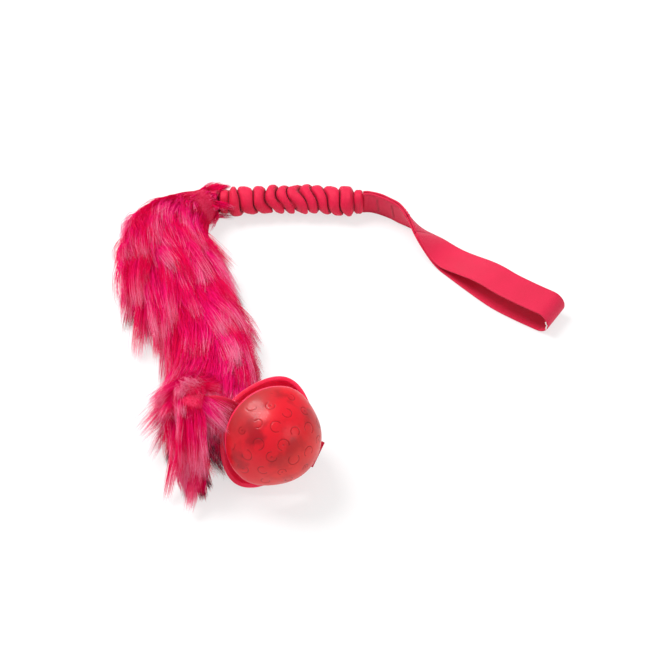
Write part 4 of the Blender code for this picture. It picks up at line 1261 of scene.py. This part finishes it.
def scatter(net, density, seed):
    # Points on the backing, each with what its strand needs
    cover = net.num("MULTIPLY", density, net.read("cover"))
    spots = net.add("GeometryNodeDistributePointsOnFaces",
                    {"Mesh": net.given["Skin"], "Density": cover, "Seed": seed})
    where = net.add("GeometryNodeInputPosition")
    points = net.store(spots, "root", where, "FLOAT_VECTOR")
    points = net.store(points, "normal", spots.node.outputs["Normal"], "FLOAT_VECTOR")
    points = net.store(points, "jitter", net.randomVector(seed), "FLOAT_VECTOR")
    reach = net.num("MULTIPLY", net.read("pile"), net.random(seed, *coat["vary"]))
    points = net.store(points, "reach", reach)
    return net.store(points, "chance", net.random(net.num("ADD", seed, 5)))


def shapeHair(net, hair, rows):
    # Bends the realised cones into strands, and stores what the material and the bake read
    x, y, t = net.split(net.read("local", "FLOAT_VECTOR"))
    own = hairPath(net, t, "", coat["ownSpread"])
    lock = hairPath(net, t, "guide_", coat["lockSpread"])
    pull = net.num("MULTIPLY", net.given["Clump"], net.num("POWER", t, 0.8))
    centre = net.add("ShaderNodeMix", {0: pull, 4: own, 5: lock}, 1, data_type="VECTOR")
    for half in (ballCentre, fromBall(opened([0, 0, 0]))):
        centre = pushOut(net, centre, half)
    flow, normal = (net.read(name, "FLOAT_VECTOR") for name in ("flow", "normal"))
    side = net.vec("NORMALIZE", net.vec("CROSS_PRODUCT", flow, normal))
    thick = net.num("MULTIPLY", net.given["Radius"], net.num("MULTIPLY_ADD", t, 0.9, 1.0))
    offset = net.vec("ADD", net.scale(side, x), net.scale(normal, y))
    across, along, level = net.split(net.vec("ADD", centre, net.scale(offset, thick)))
    chance, guideChance = net.read("chance"), net.read("guide_chance")
    lowest = net.num("MULTIPLY_ADD", chance, *coat["table"])
    placed = net.gather(across, along, net.num("MAXIMUM", level, lowest))
    hair = net.add("GeometryNodeSetPosition", {"Geometry": hair, "Position": placed})
    # Colour cues for the material
    tint = net.num("MULTIPLY_ADD", guideChance, 0.6, net.num("MULTIPLY", chance, 0.4))
    rare = net.num("MULTIPLY_ADD", chance, 0.25, net.num("MULTIPLY", guideChance, 0.35))
    dark = net.num("GREATER_THAN", net.num("ADD", net.read("darkness"), rare), pile["darkFrom"])
    for name, value in (("along", t), ("tint", tint), ("dark", dark)):
        hair = net.store(hair, name, value)
    # Each strand has its own cell in the bake's layout
    cell = net.read("cell")
    corner = net.gather(net.num("MODULO", cell, rows),
                        net.num("FLOOR", net.num("DIVIDE", cell, rows)), 0.0)
    shrunk = net.vec("MULTIPLY_ADD", net.read("OFBake", "FLOAT_VECTOR"), (0.9, 0.9, 0.0),
                     (0.05, 0.05, 0.0))
    flat = net.scale(net.vec("ADD", shrunk, corner), net.num("DIVIDE", 1.0, rows))
    return net.store(hair, "OFBake", flat, "FLOAT2", "CORNER")


def makeHairTree(material):
    net = Net("hair", {"Skin": None, "Density": 1.0e6, "Guides": 1.6e4, "Radius": coat["radius"],
                       "Clump": coat["clump"], "Seed": 0}, "Hair")
    given = net.given
    guides = scatter(net, given["Guides"], net.num("ADD", given["Seed"], coat["guideSeed"]))
    roots = scatter(net, given["Density"], given["Seed"])
    near = net.add("GeometryNodeSampleNearest", {"Geometry": guides})
    for name, kind in {**strandValues, "chance": "FLOAT"}.items():
        copied = net.add("GeometryNodeSampleIndex", {"Geometry": guides, "Index": near,
                                                     "Value": net.read(name, kind)},
                         data_type=kind)
        roots = net.store(roots, "guide_" + name, copied, kind)
    roots = net.store(roots, "cell", net.add("GeometryNodeInputIndex"))
    total = net.add("GeometryNodeAttributeDomainSize", {"Geometry": roots},
                    component="POINTCLOUD")
    rows = net.num("CEIL", net.num("SQRT", total))
    # One strand: a thin cone, its height read as the place along the strand
    cone = net.add("GeometryNodeMeshCone", {"Vertices": 3, "Side Segments": 5, "Radius Top": 0.04,
                                            "Radius Bottom": 1.0, "Depth": 1.0}, fill_type="NONE")
    strand = net.store(cone, "local", net.add("GeometryNodeInputPosition"), "FLOAT_VECTOR")
    strand = net.store(strand, "OFBake", cone.node.outputs["UV Map"], "FLOAT2", "CORNER")
    placed = net.add("GeometryNodeInstanceOnPoints", {"Points": roots, "Instance": strand})
    return net.finish(placed, material, lambda hair: shapeHair(net, hair, rows))


def growHair(number, low, high, tree):
    s = np.linspace(low, high, coat["rings"])
    angle = turns(coat["sides"])[None, :]
    points = furSkin(s, angle)
    mesh = bpy.data.meshes.new("skin_part")
    mesh.from_pydata(points.reshape(-1, 3).tolist(), [], gridFaces(len(s), coat["sides"]))
    fixNormals(mesh)
    for name, values in pileAt(s, angle, points).items():
        storeValues(mesh, name, values, strandValues.get(name, "FLOAT"))
    share = (high - low) / (furEnd - coat["start"]) / sum(p.area for p in mesh.polygons)
    thing = bakeNodes(f"fur_strands_{number}", link("skin_part", mesh), tree,
                      {"Density": coat["strands"] * coat["surplus"] * share,
                       "Guides": coat["guides"] * share, "Seed": 11 * number})
    keep = {"along", "tint", "dark", "OFBake", "position", "sharp_face", "material_index"}
    stored = thing.data.attributes
    for name in [a.name for a in stored]:
        if name not in keep and not name.startswith("."):
            stored.remove(stored[name])
    print("fur part", number, len(thing.data.polygons), "faces")
    return thing


def makeBacking(material):
    # A soft tube with a flat hole for the strap, closed at both ends
    sides = backing["sides"]
    s = np.linspace(coat["start"], furEnd, backing["rings"])
    turn = turns(sides)
    outer = furSkin(s, turn[None, :])
    wide, thin = strapDirections(s)
    box = np.maximum(np.abs(np.cos(turn)), np.abs(np.sin(turn)))
    inner = (route.at(s)[:, None]
             + thin[:, None] * (backing["holeThick"] * np.cos(turn) / box)[None, :, None]
             + wide[:, None] * (backing["holeWide"] * np.sin(turn) / box)[None, :, None])
    points = np.concatenate([outer, inner[::-1]])
    faces = gridFaces(len(points), sides)
    last = (len(points) - 1) * sides
    for c in range(sides):
        d = (c + 1) % sides
        faces.append((last + c, last + d, d, c))
    thing = meshPiece("fur_backing", points, faces, material)
    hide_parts("fur_tail", "fur_fold", "fur_top")
    return thing


def makeFur(hairMaterial, skinMaterial):
    foldEnds = (route.at(fur["foldEnd"]), route.at(fur["foldStart"]))
    bendPiece(makeBacking(skinMaterial), "tail", "tail_top", *foldEnds)
    tree = makeHairTree(hairMaterial)
    edges = np.linspace(coat["start"], furEnd, coat["parts"] + 1)
    for number, (low, high) in enumerate(zip(edges, edges[1:]), 1):
        strands = growHair(number, low, high, tree)
        if high > furEnd - coat["toBall"]:
            bendPiece(strands, "tail", "ball", route.at(furEnd - coat["toBallFrom"]),
                      route.at(swingEnd))
        else:
            bendPiece(strands, "tail", "tail_top", *foldEnds)


def main():
    makeCamera()
    makeStage()
    web = webbingFinish("red_webbing", (0.80, 0.006, 0.066), (0.54, 0.001, 0.030))
    gripWeb = webbingFinish("grip_webbing", (0.74, 0.010, 0.068), (0.56, 0.004, 0.038), 0.0006, 0.4)
    thread = threadFinish("red_thread", (0.50, 0.010, 0.045))
    white = threadFinish("white_thread", (0.85, 0.83, 0.80))
    braid = webbingFinish("elastic_braid", (0.75, 0.72, 0.70), (0.50, 0.47, 0.45))
    makeHandle(gripWeb)
    makeHandleStitches(threadFinish("grip_thread", (0.62, 0.014, 0.060)))
    makeLooseThread(white)
    print("hand loop made")
    makeSleeve(web)
    makeElastic(braid)
    start, end = sleeveEnds()
    half = sleeve["seat"] + sleeve["seam"] / 2
    makeSeam("sleeve_tail_end", start[0] - half, web, thread, "sleeve_tail_seam", "tail_top")
    makeSeam("sleeve_grip_end", end[0] + half, web, thread, "sleeve_grip_seam", "grip_end")
    print("sleeve made")
    makeStraps(web, thread)
    print("straps made")
    makeBall(rubberFinish(), lipFinish())
    print("ball made")
    makeFur(furFinish(), skinFinish())
    print("fur made")


main()
